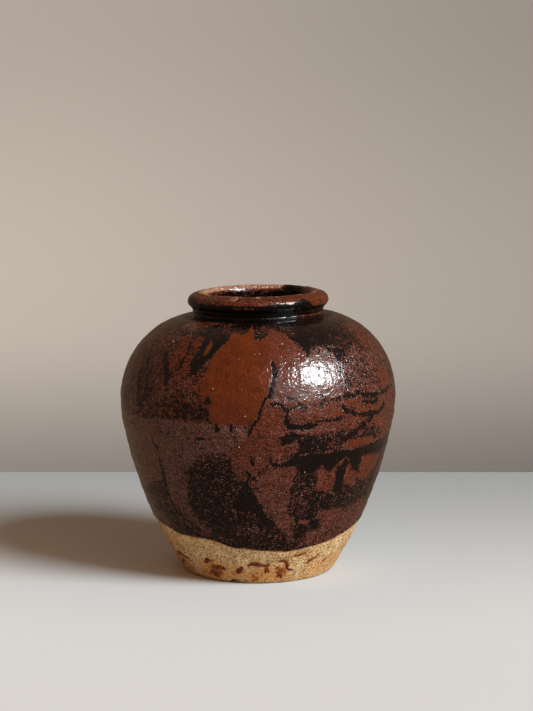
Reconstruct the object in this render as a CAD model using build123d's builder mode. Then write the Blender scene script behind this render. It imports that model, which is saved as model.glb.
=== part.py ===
"""A stoneware storage jar with a rolled rim, glazed brown and black above a bare clay foot.

The clay body is built the way the potter built it: a floor disc, a lower wall, a coil that joins
the two thrown halves at the belly, a shoulder, a ring and a collar for the neck, and a rolled rim.
Over it lie the outer glaze, the glaze lining and the splashes of glaze on the foot.
Lengths are millimetres, the origin is the middle of the foot, and +Z is up.
"""

import os
from math import atan2, cos, degrees, hypot, radians, sin, sqrt

from build123d import *

os.makedirs("parts", exist_ok=True)

# The body's outline
foot_radius = 81.0
belly_radius = 147.0
belly_height = 188.0
shoulder_height = 275.0
shoulder_crown_radius = 65.0
lower_belly_bend = 118.0
lower_wall_bend = 463.0

# The clay of the body
wall_thickness = 9.0
floor_thickness = 12.0
foot_edge_round = 2.5

# The coil that joins the two thrown halves
seam_drop = 22.0
seam_coil_height = 12.0
seam_bead_stand_out = 0.5

# The neck, from its ring up to the rolled rim
mouth_radius = 56.6
neck_wall_thickness = 9.4
neck_ring_rise = 2.0
neck_ring_round = 3.4
neck_collar_height = 3.4
roll_round = 6.8
roll_stand_out = 8.4
roll_drop = 8.6
lip_round = 5.6

# The glazes
glaze_thickness = 0.8
lining_thickness = 0.6
splash_thickness = 0.4

# The wavy lower edge of the outer glaze
glaze_line_height = 54.0
glaze_line_samples = 25

# Its waves: how many go round, their rise as a share of that height, and the turn of their peak
glaze_wave_shares = [
    (1, 0.131, -147.0),
    (2, 0.098, 180.0),
    (3, 0.054, -109.0),
]

# The splashes on the foot: turn from the front, height, width and tallness as shares of the
# bare clay's height, and tilt
foot_splash_shares = [
    (-58.0, 0.37, 0.30, 0.09, -18.0),
    (-31.0, 0.30, 0.31, 0.24, -20.0),
    (-13.5, 0.31, 0.13, 0.17, 25.0),
    (-3.0, 0.22, 0.09, 0.17, 0.0),
    (0.5, 0.445, 0.37, 0.075, -8.0),
    (15.0, 0.37, 0.17, 0.24, -30.0),
    (25.0, 0.61, 0.13, 0.04, 12.0),
    (37.0, 0.48, 0.20, 0.04, 35.0),
]

# Sizes that follow from those above
seam_height = belly_height - seam_drop
seam_low = seam_height - seam_coil_height / 2
seam_high = seam_height + seam_coil_height / 2
seam_bead_round = wall_thickness / 2 + seam_bead_stand_out
neck_radius = mouth_radius + neck_wall_thickness
neck_ring_center = (neck_radius, shoulder_height + neck_ring_rise)
neck_ring_top = shoulder_height + neck_ring_rise + neck_ring_round
neck_collar_top = neck_ring_top + neck_collar_height
roll_center = (neck_radius + roll_stand_out - roll_round, neck_collar_top + roll_round)
crest_height = roll_center[1] + roll_drop
lip_center = (mouth_radius + lip_round, crest_height - lip_round)
jar_height = crest_height + glaze_thickness
reach = belly_radius + jar_height


def lower_wall_center():
    """Centre of the long arc that runs into the belly's bend and ends at the foot."""
    bend_x = belly_radius - lower_belly_bend
    span = hypot(foot_radius - bend_x, belly_height)
    between = lower_wall_bend - lower_belly_bend
    along = (span**2 + between**2 - lower_wall_bend**2) / (2 * span)
    aside = sqrt(between**2 - along**2)
    unit_x = (foot_radius - bend_x) / span
    unit_z = -belly_height / span
    return (bend_x + along * unit_x + aside * unit_z, belly_height + along * unit_z - aside * unit_x)


def lower_wall_radius(height, offset):
    """Radius of the lower wall at a height, at an offset from the clay's outer surface."""
    center_x, center_z = lower_wall_center()
    return center_x + sqrt((lower_wall_bend + offset) ** 2 - (height - center_z) ** 2)


def angle_from(center, point):
    """Angle in degrees of the line from a centre to a point."""
    return degrees(atan2(point[1] - center[1], point[0] - center[0]))


def body_profile(offset):
    """Face between the jar's axis and its wall line, at an offset from the clay's outer surface."""
    wall_center = lower_wall_center()
    bend_center = (belly_radius - lower_belly_bend, belly_height)
    past_foot = degrees(wall_thickness / lower_wall_bend)
    foot_angle = angle_from(wall_center, (foot_radius, 0)) - past_foot
    bend_angle = angle_from(wall_center, bend_center)
    crown_width = belly_radius - shoulder_crown_radius
    crown_rise = shoulder_height - belly_height
    with BuildSketch(Plane.XZ) as profile:
        with BuildLine():
            wall = CenterArc(wall_center, lower_wall_bend + offset, foot_angle, bend_angle - foot_angle)
            CenterArc(bend_center, lower_belly_bend + offset, bend_angle, -bend_angle)
            shoulder = EllipticalCenterArc(
                (shoulder_crown_radius, belly_height), crown_width + offset, crown_rise + offset
            )
            crown = shoulder.position_at(1)
            foot = wall.position_at(0)
            Polyline(crown, (0, crown.Y), (0, foot.Y), foot)
        make_face()
    return profile.sketch


def rim_profile(skin):
    """Face of the rolled rim: the lip and the roll, joined by a smooth slope."""
    with BuildSketch(Plane.XZ) as profile:
        with Locations(lip_center):
            Circle(lip_round + skin)
        with Locations(roll_center):
            Circle(roll_round + skin)
        make_hull()
    return profile.sketch


seam_bead_center = (lower_wall_radius(seam_height, -wall_thickness / 2), seam_height)


def outer_profile(skin):
    """Face of all that lies inside the jar's outer surface, at a skin's thickness over the clay."""
    with BuildSketch(Plane.XZ) as profile:
        add(body_profile(skin))
        with Locations(seam_bead_center):
            Circle(seam_bead_round + skin)
        with Locations((0, belly_height)):
            Rectangle(neck_radius + skin, lip_center[1] - belly_height, align=(Align.MIN, Align.MIN))
        with Locations(neck_ring_center):
            Circle(neck_ring_round + skin)
        add(rim_profile(skin))
    return profile.sketch


def hollow_profile(skin):
    """Face of the jar's inside, less a skin that lines it."""
    with BuildSketch(Plane.XZ) as profile:
        add(body_profile(-wall_thickness - skin))
        with Locations(seam_bead_center):
            Circle(seam_bead_round + skin, mode=Mode.SUBTRACT)
        with Locations((0, belly_height)):
            Rectangle(mouth_radius - skin, reach, align=(Align.MIN, Align.MIN))
        with Locations((0, floor_thickness + skin)):
            Rectangle(reach, reach, align=(Align.MIN, Align.MIN), mode=Mode.INTERSECT)
    return profile.sketch


def clay_profile(low, high):
    """Face of the clay between two heights."""
    with BuildSketch(Plane.XZ) as profile:
        add(outer_profile(0))
        add(hollow_profile(0), mode=Mode.SUBTRACT)
        with Locations((0, low)):
            Rectangle(reach, high - low, align=(Align.MIN, Align.MIN), mode=Mode.INTERSECT)
    return profile.sketch


def keep(piece, name):
    """Label a finished piece and write its file."""
    piece.part.label = name
    export_step(piece.part, f"parts/{name}.step")


# The clay body, from the foot to the rim
with BuildPart() as floor_disc:
    revolve(profiles=clay_profile(0, floor_thickness), axis=Axis.Z)
    foot_edge = floor_disc.edges().group_by(Axis.Z)[0].sort_by(SortBy.RADIUS)[-1]
    fillet(foot_edge, radius=foot_edge_round)
keep(floor_disc, "floor_disc")

with BuildPart() as lower_wall:
    revolve(profiles=clay_profile(floor_thickness, seam_low), axis=Axis.Z)
keep(lower_wall, "lower_wall")

with BuildPart() as belly_seam_coil:
    revolve(profiles=clay_profile(seam_low, seam_high), axis=Axis.Z)
keep(belly_seam_coil, "belly_seam_coil")

with BuildPart() as shoulder_wall:
    revolve(profiles=clay_profile(seam_high, shoulder_height), axis=Axis.Z)
keep(shoulder_wall, "shoulder_wall")

with BuildPart() as neck_ring:
    revolve(profiles=clay_profile(shoulder_height, neck_ring_top), axis=Axis.Z)
keep(neck_ring, "neck_ring")

with BuildPart() as neck_collar:
    revolve(profiles=clay_profile(neck_ring_top, neck_collar_top), axis=Axis.Z)
keep(neck_collar, "neck_collar")

with BuildPart() as rolled_rim:
    revolve(profiles=clay_profile(neck_collar_top, jar_height), axis=Axis.Z)
keep(rolled_rim, "rolled_rim")


# The outer glaze, which ends in a wavy line above the bare foot
flank_radius = lower_wall_radius(glaze_line_height, glaze_thickness)


def glaze_line(x, y):
    """Height of the glaze line over a point of the floor; each wave grows outwards from the axis."""
    turn = atan2(x, -y)
    grown_share = hypot(x, y) / flank_radius
    height = glaze_line_height
    for count, rise_share, peak in glaze_wave_shares:
        rise = rise_share * glaze_line_height * grown_share**count
        height += rise * cos(count * turn - radians(peak))
    return height


sample_gap = 2 * belly_radius / (glaze_line_samples - 1)
sample_places = [step * sample_gap - belly_radius for step in range(glaze_line_samples)]
wavy_face = Face.make_surface_from_array_of_points(
    [[(x, y, glaze_line(x, y)) for x in sample_places] for y in sample_places]
)
below_glaze = extrude(wavy_face, amount=jar_height, dir=(0, 0, -1), mode=Mode.PRIVATE)

with BuildPart() as outer_glaze:
    with BuildSketch(Plane.XZ):
        add(outer_profile(glaze_thickness))
        add(outer_profile(0), mode=Mode.SUBTRACT)
        with Locations((0, belly_height)):
            Rectangle(lip_center[0], reach, align=(Align.MIN, Align.MIN), mode=Mode.SUBTRACT)
        Rectangle(reach, reach, align=(Align.MIN, Align.MIN), mode=Mode.INTERSECT)
    revolve(axis=Axis.Z)
    add(below_glaze, mode=Mode.SUBTRACT)
keep(outer_glaze, "outer_glaze")

# The glaze lining, from the lip down over the floor
with BuildPart() as inner_glaze:
    with BuildSketch(Plane.XZ):
        add(hollow_profile(0))
        add(hollow_profile(lining_thickness), mode=Mode.SUBTRACT)
        Rectangle(reach, lip_center[1], align=(Align.MIN, Align.MIN), mode=Mode.INTERSECT)
    revolve(axis=Axis.Z)
keep(inner_glaze, "inner_glaze")

# The splashes of glaze on the bare foot: posts that point outwards cut them from a thin skin
with BuildPart() as splash_posts:
    for turn, height_share, width_share, tallness_share, tilt in foot_splash_shares:
        outward = (sin(radians(turn)), -cos(radians(turn)), 0)
        around = (cos(radians(turn)), sin(radians(turn)), 0)
        post_start = (0, 0, height_share * glaze_line_height)
        with BuildSketch(Plane(origin=post_start, x_dir=around, z_dir=outward)):
            Ellipse(
                width_share * glaze_line_height / 2, tallness_share * glaze_line_height / 2, rotation=tilt
            )
        extrude(amount=belly_radius)

with BuildPart() as foot_splash_marks:
    with BuildSketch(Plane.XZ):
        add(body_profile(splash_thickness))
        add(body_profile(0), mode=Mode.SUBTRACT)
        Rectangle(reach, belly_height, align=(Align.MIN, Align.MIN), mode=Mode.INTERSECT)
    revolve(axis=Axis.Z)
    add(splash_posts.part, mode=Mode.INTERSECT)
keep(foot_splash_marks, "foot_splash_marks")
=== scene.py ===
# %% [markdown]
# # A glazed storage jar
#
# The real jar is stoneware, thrown on a wheel in two halves and joined at the belly. Its iron glaze
# ran down black, brown and orange, and stopped in a wavy line above a bare clay foot. This notebook
# dresses the finished CAD model: the sizes come from it, and the turned walls are spun again with
# enough points to carry the glaze's unevenness and its pools of colour.

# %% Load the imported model
from math import atan2, degrees, hypot, pi, radians, sqrt
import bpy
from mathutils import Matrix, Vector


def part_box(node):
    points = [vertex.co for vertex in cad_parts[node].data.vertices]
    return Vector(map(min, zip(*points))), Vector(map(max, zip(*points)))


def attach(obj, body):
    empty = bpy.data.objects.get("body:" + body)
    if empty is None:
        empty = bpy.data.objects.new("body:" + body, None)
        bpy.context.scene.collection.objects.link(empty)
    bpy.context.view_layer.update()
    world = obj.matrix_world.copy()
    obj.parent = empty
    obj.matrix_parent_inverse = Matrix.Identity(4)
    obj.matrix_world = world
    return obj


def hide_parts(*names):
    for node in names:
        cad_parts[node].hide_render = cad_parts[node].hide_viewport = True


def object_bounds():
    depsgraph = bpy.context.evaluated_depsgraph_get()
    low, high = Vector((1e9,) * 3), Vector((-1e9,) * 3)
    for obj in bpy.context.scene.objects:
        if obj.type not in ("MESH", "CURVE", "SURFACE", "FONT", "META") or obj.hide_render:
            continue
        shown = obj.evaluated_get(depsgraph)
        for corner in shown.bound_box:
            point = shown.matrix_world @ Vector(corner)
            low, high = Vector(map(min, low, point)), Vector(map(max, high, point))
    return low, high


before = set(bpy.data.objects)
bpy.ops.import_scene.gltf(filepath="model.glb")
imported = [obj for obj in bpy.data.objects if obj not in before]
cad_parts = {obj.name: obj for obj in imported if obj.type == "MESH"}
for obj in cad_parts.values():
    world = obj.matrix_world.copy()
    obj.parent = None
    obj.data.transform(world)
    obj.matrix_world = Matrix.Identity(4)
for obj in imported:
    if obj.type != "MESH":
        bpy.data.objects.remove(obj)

from types import SimpleNamespace

import bpy
import numpy as np
from mathutils import Vector

cad_low, cad_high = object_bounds()
print("The solids reach from", cad_low, "to", cad_high)

# %% [markdown]
# ## The jar's own sizes
#
# Heights come from the nodes' boxes, so that the new walls meet where the solids meet. The radii of
# the turned outline are the potter's: a long gentle curve up from the foot, a tighter bend at the
# belly, and a quarter of an ellipse over the shoulder.

# %% Sizes
mm = 0.001

foot_radius = 81.0 * mm
belly_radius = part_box("shoulder_wall")[1][0]
belly_height = 188.0 * mm
lower_belly_bend = 118.0 * mm
lower_wall_bend = 463.0 * mm
shoulder_crown_radius = 65.0 * mm
shoulder_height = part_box("shoulder_wall")[1][2]
floor_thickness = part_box("floor_disc")[1][2]
wall_thickness = 9.0 * mm
foot_edge_round = 2.5 * mm

seam_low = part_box("belly_seam_coil")[0][2]
seam_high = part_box("belly_seam_coil")[1][2]
seam_height = (seam_low + seam_high) / 2

mouth_radius = 56.6 * mm
bore_radius = 56.0 * mm
neck_radius = 66.0 * mm
neck_ring_round = 3.4 * mm
neck_ring_center = (neck_radius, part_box("neck_ring")[1][2] - neck_ring_round)
collar_line_low = 278.0 * mm
collar_line_high = 289.0 * mm
roll_round = 6.8 * mm
roll_center = (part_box("rolled_rim")[1][0] - roll_round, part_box("rolled_rim")[0][2] + roll_round)
lip_round = 5.6 * mm
lip_center = (mouth_radius + lip_round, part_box("rolled_rim")[1][2] - lip_round)
jar_height = cad_high[2]

glaze_thickness = jar_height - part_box("rolled_rim")[1][2]
lining_thickness = mouth_radius - bore_radius
glaze_line_height = 54.0 * mm
print("Belly", belly_radius, "seam", seam_height, "glaze", glaze_thickness, "roll", roll_center)

# %% [markdown]
# ## Turning the outline
#
# A thrown pot is a curve turned round an axis. The curve is built once, as arcs joined where they
# cross, and then read at any thickness over the clay. Soft glaze fills sharp inner corners, so the
# joined curve is smoothed a little, which a bevel would do less evenly on so many small arcs.

# %% Arcs and the joined outline
fine_step = 0.1 * mm
outer_corner_size = 0.8 * mm


def angle_from(center, point):
    """Angle in degrees of the line from a centre to a point."""
    return degrees(atan2(point[1] - center[1], point[0] - center[0]))


def arc(center, radii, start, end):
    """Points along an arc of a circle or an upright ellipse, from one angle to another."""
    count = max(3, int(abs(radians(end - start)) * max(radii) / fine_step))
    turns = np.radians(np.linspace(start, end, count))
    return np.stack([center[0] + radii[0] * np.cos(turns), center[1] + radii[1] * np.sin(turns)], 1)


def join(first, second):
    """Two paths as one, changing over where they come nearest to each other."""
    gaps = np.hypot(*(first[:, None, :] - second[None, :, :]).transpose(2, 0, 1))
    leave, enter = np.unravel_index(np.argmin(gaps), gaps.shape)
    return np.concatenate([first[: leave + 1], second[enter:]])


def along(path):
    """Distance along a path at each of its points."""
    return np.concatenate([[0.0], np.cumsum(np.hypot(*np.diff(path, axis=0).T))])


def columns_at(places, known, table):
    """A table's columns, read at places between the known ones."""
    return np.stack([np.interp(places, known, column) for column in table.T], 1)


def read(path, places):
    """Points of a path at given distances along it."""
    return columns_at(places, along(path), path)


def smoothed(table, weights):
    """A table's columns, each averaged over its neighbours with the given weights."""
    return np.stack([np.convolve(column, weights, "valid") for column in table.T], 1)


def soften(path, size):
    """A path with its corners rounded off over about a size, and its two ends kept."""
    even = read(path, np.arange(0, along(path)[-1], fine_step))
    reach = int(3 * size / fine_step)
    weights = np.exp(-0.5 * (np.arange(-reach, reach + 1) * fine_step / size) ** 2)
    weights /= weights.sum()
    start = 2 * even[0] - even[reach:0:-1]
    end = 2 * even[-1] - even[-2 : -reach - 2 : -1]
    return smoothed(np.concatenate([start, even, end]), weights)


def lower_wall_center():
    """Centre of the long arc that runs into the belly's bend and ends at the foot."""
    bend_x = belly_radius - lower_belly_bend
    span = hypot(foot_radius - bend_x, belly_height)
    between = lower_wall_bend - lower_belly_bend
    ahead = (span**2 + between**2 - lower_wall_bend**2) / (2 * span)
    aside = sqrt(between**2 - ahead**2)
    unit_x = (foot_radius - bend_x) / span
    unit_z = -belly_height / span
    return (bend_x + ahead * unit_x + aside * unit_z, belly_height + ahead * unit_z - aside * unit_x)


def wall_arcs(offset, crown_turn):
    """The body's three arcs from the foot to the crown, at an offset from the clay's outer surface."""
    wall = lower_wall_center()
    bend = (belly_radius - lower_belly_bend, belly_height)
    crown = (shoulder_crown_radius, belly_height)
    bend_turn = angle_from(wall, bend)
    foot_turn = angle_from(wall, (foot_radius, 0))
    crown_radii = (belly_radius - shoulder_crown_radius + offset, shoulder_height - belly_height + offset)
    return [
        arc(wall, (lower_wall_bend + offset,) * 2, foot_turn, bend_turn),
        arc(bend, (lower_belly_bend + offset,) * 2, bend_turn, 0),
        arc(crown, crown_radii, 0, crown_turn),
    ]


def rim_tangent():
    """Angle at which one straight line touches both the roll and the lip, on their upper side."""
    gap = hypot(lip_center[0] - roll_center[0], lip_center[1] - roll_center[1])
    round_gap = roll_round - lip_round
    from_centers = degrees(atan2(sqrt(gap**2 - round_gap**2), round_gap))
    return angle_from(roll_center, lip_center) - from_centers


def outer_path(offset):
    """The whole outside, from the foot over the rolled rim to the inside of the lip."""
    wall, bend, crown = wall_arcs(offset, 88)
    body = np.concatenate([wall[:-1], bend[:-1], crown])
    ring = arc(neck_ring_center, (neck_ring_round + offset,) * 2, -60, 85)
    collar_heights = np.arange(collar_line_low, collar_line_high, fine_step)
    collar = np.stack([np.full(len(collar_heights), neck_radius + offset), collar_heights], 1)
    roll = arc(roll_center, (roll_round + offset,) * 2, -140, rim_tangent())
    lip = arc(lip_center, (lip_round + offset,) * 2, rim_tangent(), 180)
    path = join(join(join(body, ring), collar), roll)
    return soften(np.concatenate([path, lip]), outer_corner_size)


outside = outer_path(0.0)
print("The outline runs", round(along(outside)[-1] / mm), "mm from the foot to the lip")

# %% [markdown]
# ## Where a point of the jar lies
#
# Everything on the wall is placed by how far it is turned from the front, and by how far up the
# outline it lies. The spun meshes are first made true, and then each point is put back by its turn,
# its run along the outline and its depth under the surface. The whole jar also leans and swells a
# little, as a thrown pot does, and that one warp is used on every piece, so that neighbours meet.
#
# Chance on a pot has a size: a lump is as wide as a fingertip, a ripple as a grain of sand. So each
# unevenness is a short list of waves, every one with its height, its size in millimetres and a seed.

# %% Chance waves, the warp and the wall's relief
lean_share = 0.0167
swell_waves = [(0.0022, 2, 0.6), (0.0016, 3, -1.1)]
throwing_rings = [(0.15, 17.0, 1), (0.08, 8.3, -1)]
rings_fade_from = 170 * mm
rings_fade_to = 210 * mm
wall_lumps = [(0.16, 26.0, 3), (0.08, 9.0, 4), (0.03, 4.4, 6)]
wave_count = 24
seam_bead_width = 4.6 * mm
seam_ridge_rise = 2.8 * mm
seam_ridge_width = 1.8 * mm
seam_groove_width = 0.9 * mm


def turns_of(points):
    """How far each point is turned from the front, in radians, positive to the right."""
    return np.arctan2(points[:, 0], -points[:, 1])


def degrees_from(turns, middle):
    """Degrees from a middle turn, from -180 to 180."""
    return (np.degrees(turns) - middle + 180) % 360 - 180


def hump(distance, width):
    """A smooth rise to 1 where a distance is nothing, which fades over a width to both sides."""
    return np.exp(-((distance / width) ** 2))


def waves(points, size, seed):
    """Smooth chance values, mostly from -1 to 1: sine waves of about one length, in all directions."""
    chance = np.random.default_rng(seed)
    ways = chance.normal(size=(wave_count, 3))
    ways /= np.linalg.norm(ways, axis=1)[:, None]
    lengths = size * chance.uniform(0.7, 1.5, wave_count)
    shifts = chance.uniform(0, 2 * pi, wave_count)
    return np.sin(2 * pi * points @ (ways / lengths[:, None]).T + shifts).sum(1) / sqrt(wave_count)


def layered(points, layers):
    """Waves of several sizes, added up."""
    return sum(height * waves(points, size * mm, seed) for height, size, seed in layers)


def warp(points):
    """Points of the true jar, moved as the real one leans and swells: the foot stays flat."""
    turns = turns_of(points)
    risen = np.clip(points[:, 2] / seam_height, 0, 1)
    swell = sum(share * np.cos(count * turns + shift) for share, count, shift in swell_waves)
    swell *= np.clip(points[:, 2] / belly_height, 0, 1)
    moved = points.copy()
    moved[:, 0] *= 1 + swell
    moved[:, 1] *= 1 + swell
    moved[:, 2] += lean_share * points[:, 0] * risen
    return moved


def relief(points, heights):
    """How far the glazed wall stands out: throwing rings, soft lumps, and the ridge at the seam."""
    turns = turns_of(points)
    drift = 1.6 * np.sin(turns + 0.7) + 0.8 * np.sin(2 * turns)
    rings = sum(
        height * np.sin(2 * pi * heights / (spacing * mm) + way * drift)
        for height, spacing, way in throwing_rings
    )
    rings *= 0.35 + 0.65 * np.clip((rings_fade_to - heights) / (rings_fade_to - rings_fade_from), 0, 1)
    from_seam = heights - (seam_height + 0.4 * mm * np.sin(3 * turns + 0.5))
    bead = hump(from_seam, seam_bead_width)
    ridge = hump(from_seam - seam_ridge_rise, seam_ridge_width)
    groove = (0.7 + 0.3 * waves(points, 45 * mm, 5)) * hump(from_seam, seam_groove_width)
    stand_out = rings + layered(points, wall_lumps) + 0.55 * bead + 0.3 * ridge - groove
    return np.maximum(stand_out, 0.45 * bead - 0.6) * mm


# %% [markdown]
# ## Spinning a wall
#
# A lathe part is a closed loop of points turned round the axis. A circle primitive already is a
# closed loop, so one with the right number of corners is laid onto the profile and turned by a Screw
# modifier without any rise, which is far quicker here than the Spin operator and merges the points
# that lie on the axis. Rows lie close together where the wall shows and far apart on the hidden side.

# %% One function that turns any profile
full_turn_steps = 900
lining_steps = 360
merge_distance = 0.02 * mm
smooth_below = 40
search_lots = 40


def only(piece):
    """Select one object alone and make it the active one."""
    bpy.ops.object.select_all(action="DESELECT")
    piece.select_set(True)
    bpy.context.view_layer.objects.active = piece


def joined(pieces, name):
    """Several objects as one, under a name."""
    only(pieces[0])
    for piece in pieces:
        piece.select_set(True)
    bpy.ops.object.join()
    whole = bpy.context.object
    whole.name = name
    return whole


def spin_profile(name, profile, steps=full_turn_steps):
    """A closed wall, spun from a closed loop of (radius, height) points."""
    bpy.ops.object.select_all(action="DESELECT")
    bpy.ops.mesh.primitive_circle_add(vertices=len(profile), radius=belly_radius)
    piece = bpy.context.object
    piece.name = name
    loop = np.stack([profile[:, 0], np.zeros(len(profile)), profile[:, 1]], 1)
    piece.data.vertices.foreach_set("co", loop.ravel())
    lathe = piece.modifiers.new("lathe", "SCREW")
    lathe.steps = steps
    lathe.render_steps = steps
    lathe.use_merge_vertices = True
    lathe.merge_threshold = merge_distance
    bpy.ops.object.modifier_apply(modifier=lathe.name)
    bpy.ops.object.mode_set(mode="EDIT")
    bpy.ops.mesh.select_all(action="SELECT")
    bpy.ops.mesh.normals_make_consistent(inside=False)
    bpy.ops.object.mode_set(mode="OBJECT")
    return piece


def points_of(piece):
    """The places of a piece's vertices, one row each."""
    places = np.empty(len(piece.data.vertices) * 3)
    piece.data.vertices.foreach_get("co", places)
    return places.reshape(-1, 3)


def set_points(piece, points):
    """Move a piece's vertices to new places."""
    piece.data.vertices.foreach_set("co", np.asarray(points).ravel())
    piece.data.update()


def rows_of(points, profile):
    """Which point of the profile each vertex was spun from, looked up in lots to save memory."""
    flat = np.stack([np.hypot(points[:, 0], points[:, 1]), points[:, 2]], 1)
    return np.concatenate(
        [
            np.argmin(((part[:, None, :] - profile[None, :, :]) ** 2).sum(2), axis=1)
            for part in np.array_split(flat, search_lots)
        ]
    )


def turned(flat, turns):
    """Points in space from (radius, height) pairs and their turns from the front."""
    return np.stack([flat[:, 0] * np.sin(turns), -flat[:, 0] * np.cos(turns), flat[:, 1]], 1)


def keep_value(piece, name, values):
    """Store one number for each vertex, which the material reads by name."""
    layer = piece.data.attributes.new(name, "FLOAT", "POINT")
    layer.data.foreach_set("value", np.ascontiguousarray(values, dtype=np.float32))


def dress(piece, material, slot, *nodes):
    """Give a finished piece its material, its place on the jar's one body, and the nodes it stands for."""
    piece.data.materials.clear()
    piece.data.materials.append(material)
    only(piece)
    bpy.ops.object.shade_smooth_by_angle(angle=radians(smooth_below))
    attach(piece, "root")
    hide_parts(*nodes)
    print(piece.name, "has", len(piece.data.polygons), "faces")


# %% [markdown]
# ## Painting with patches
#
# The glaze's colour is chance, but it is this jar's own chance: an orange window in the black, a long
# thin drip, a reddish wedge. Each patch is an outline in degrees from the front and millimetres up,
# and each drip is a line with a half-width at each point. They are laid one over another onto two
# numbers that every vertex carries: how brown the glaze is there, from below 0 for solid black to
# above 1 for solid brown, and how warm that brown is, from purple to orange. The material breaks the
# steps between them into specks, so the edges aren't those of the mesh.

# %% Distances to a patch and the painting itself
skin = outer_path(glaze_thickness)
skin_run = along(skin)
crown_end = int(np.argmax(skin[:, 1] > shoulder_height - 0.3 * mm))
wobble_reach = 3 * mm


def run_at(height):
    """Distance along the glaze's outline at a height of the body's wall."""
    return np.interp(height, skin[:crown_end, 1], skin_run[:crown_end])


def depth_inside(across, up, corners, widths):
    """Distance in from the edge of a patch, or from the edge of a stroke with half-widths."""
    ends = np.roll(corners, -1, axis=0)
    last = len(corners) if widths is None else len(corners) - 1
    nearest = np.full(len(across), np.inf)
    inside = np.zeros(len(across), dtype=bool)
    for index in range(last):
        start_x, start_y = corners[index]
        step_x, step_y = ends[index] - corners[index]
        share = ((across - start_x) * step_x + (up - start_y) * step_y) / (step_x**2 + step_y**2)
        share = np.clip(share, 0, 1)
        gap = np.hypot(across - start_x - share * step_x, up - start_y - share * step_y)
        if widths is not None:
            gap = gap - widths[index] - share * (widths[index + 1] - widths[index])
        nearest = np.minimum(nearest, gap)
        crosses = (start_y > up) != (start_y + step_y > up)
        with np.errstate(divide="ignore", invalid="ignore"):
            inside ^= crosses & (across < start_x + (up - start_y) * step_x / step_y)
    if widths is not None:
        return -nearest
    return np.where(inside, nearest, -nearest)


def cover(turns, runs, wobble, shape, softness):
    """How much of a patch or stroke lies at each point, from 0 to 1."""
    shape = np.array(shape, dtype=float)
    middle = shape[:, 0].mean()
    radius = np.interp(shape[:, 1].mean() * mm, skin[:crown_end, 1], skin[:crown_end, 0])
    corners = np.stack([np.radians(shape[:, 0] - middle) * radius, run_at(shape[:, 1] * mm)], 1)
    widths = shape[:, 2] * mm if shape.shape[1] == 3 else None
    across = degrees_from(turns, middle) * pi / 180 * radius
    reach = softness * mm + wobble_reach + (0 if widths is None else widths.max())
    low = corners.min(0) - reach
    high = corners.max(0) + reach
    near = (across > low[0]) & (across < high[0]) & (runs > low[1]) & (runs < high[1])
    amount = np.zeros(len(turns))
    depth = depth_inside(across[near], runs[near], corners, widths) + wobble[near]
    share = np.clip(0.5 + depth / (softness * mm), 0, 1)
    amount[near] = share * share * (3 - 2 * share)
    return amount


# %% [markdown]
# ### The patches that show from the front
#
# Each entry is how brown, how warm, how soft its edge is in millimetres, and its outline. The order
# is the order of painting: broad grounds first, then the clear patches, then black over them.

# %% Broad grounds
grounds = [
    (0.46, 0.55, 12, [(-84, 185), (-84, 252), (-50, 262), (-24, 264), (-20, 185)]),
    (0.58, 0.38, 7, [(-48, 202), (-48, 226), (-36, 228), (-27, 222), (-27, 203)]),
    (0.62, 0.85, 5, [(-44, 236), (-44, 262), (-31, 263), (-30, 250), (-31, 236), (-38, 230)]),
    (0.24, 0.80, 5, [(-43, 182), (-42, 197), (-34, 203), (-27, 199), (-20, 205), (-19, 181)]),
    (0.82, 0.32, 10, [(-84, 100), (-80, 150), (-48, 150), (-47, 120), (-58, 98)]),
    (0.84, 0.08, 4, [
        (-84, 152), (-84, 178), (-60, 180), (-44, 182), (-3, 180), (-1, 168), (-12, 154), (-40, 138),
    ]),
    (0.80, 0.08, 3, [
        (-46, 84), (-45, 148), (-26, 150), (-24, 138), (-30, 124), (-34, 108), (-32, 90), (-30, 74),
        (-40, 73),
    ]),
    (0.08, 0.32, 8, [
        (-35, 100), (-33, 128), (-26, 143), (-10, 142), (-8, 122), (-12, 100), (-14, 58), (-33, 56),
    ]),
    (0.55, 0.30, 5, [(-45, 92), (-44, 70), (-36, 60), (-28, 54), (-24, 62), (-32, 80), (-36, 92)]),
    (0.48, 0.30, 7, [(24, 254), (24, 204), (74, 203), (78, 246), (60, 252), (44, 251), (36, 254)]),
    (1.00, 0.36, 6, [(9, 203), (10, 246), (22, 251), (30, 247), (34, 236), (36, 204)]),
    (-0.12, 0.60, 6, [(20, 277), (22, 256), (30, 254), (38, 252), (46, 252), (58, 256), (64, 277)]),
    (0.14, 0.50, 9, [(42, 246), (44, 262), (60, 262), (60, 244)]),
    (0.50, 0.62, 9, [(60, 242), (60, 266), (92, 266), (92, 232), (68, 238)]),
    (0.74, 0.50, 5, [(9, 150), (9, 202), (36, 202), (74, 202), (86, 176), (80, 150)]),
    (0.34, 0.40, 5, [
        (14, 146), (14, 166), (30, 168), (42, 164), (60, 165), (62, 157), (36, 155), (34, 147),
    ]),
    (0.04, 0.34, 8, [(14, 60), (14, 137), (60, 137), (84, 150), (86, 60)]),
    (0.64, 0.36, 7, [
        (22, 44), (26, 58), (34, 62), (32, 80), (46, 86), (60, 84), (80, 76), (76, 58), (42, 44),
    ]),
    (0.06, 0.10, 8, [(18, 84), (20, 104), (40, 102), (56, 106), (66, 96), (56, 84), (40, 82)]),
    (0.18, 0.30, 4, [(15, 84), (15, 128), (25, 128), (26, 104), (25, 84)]),
]

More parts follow.
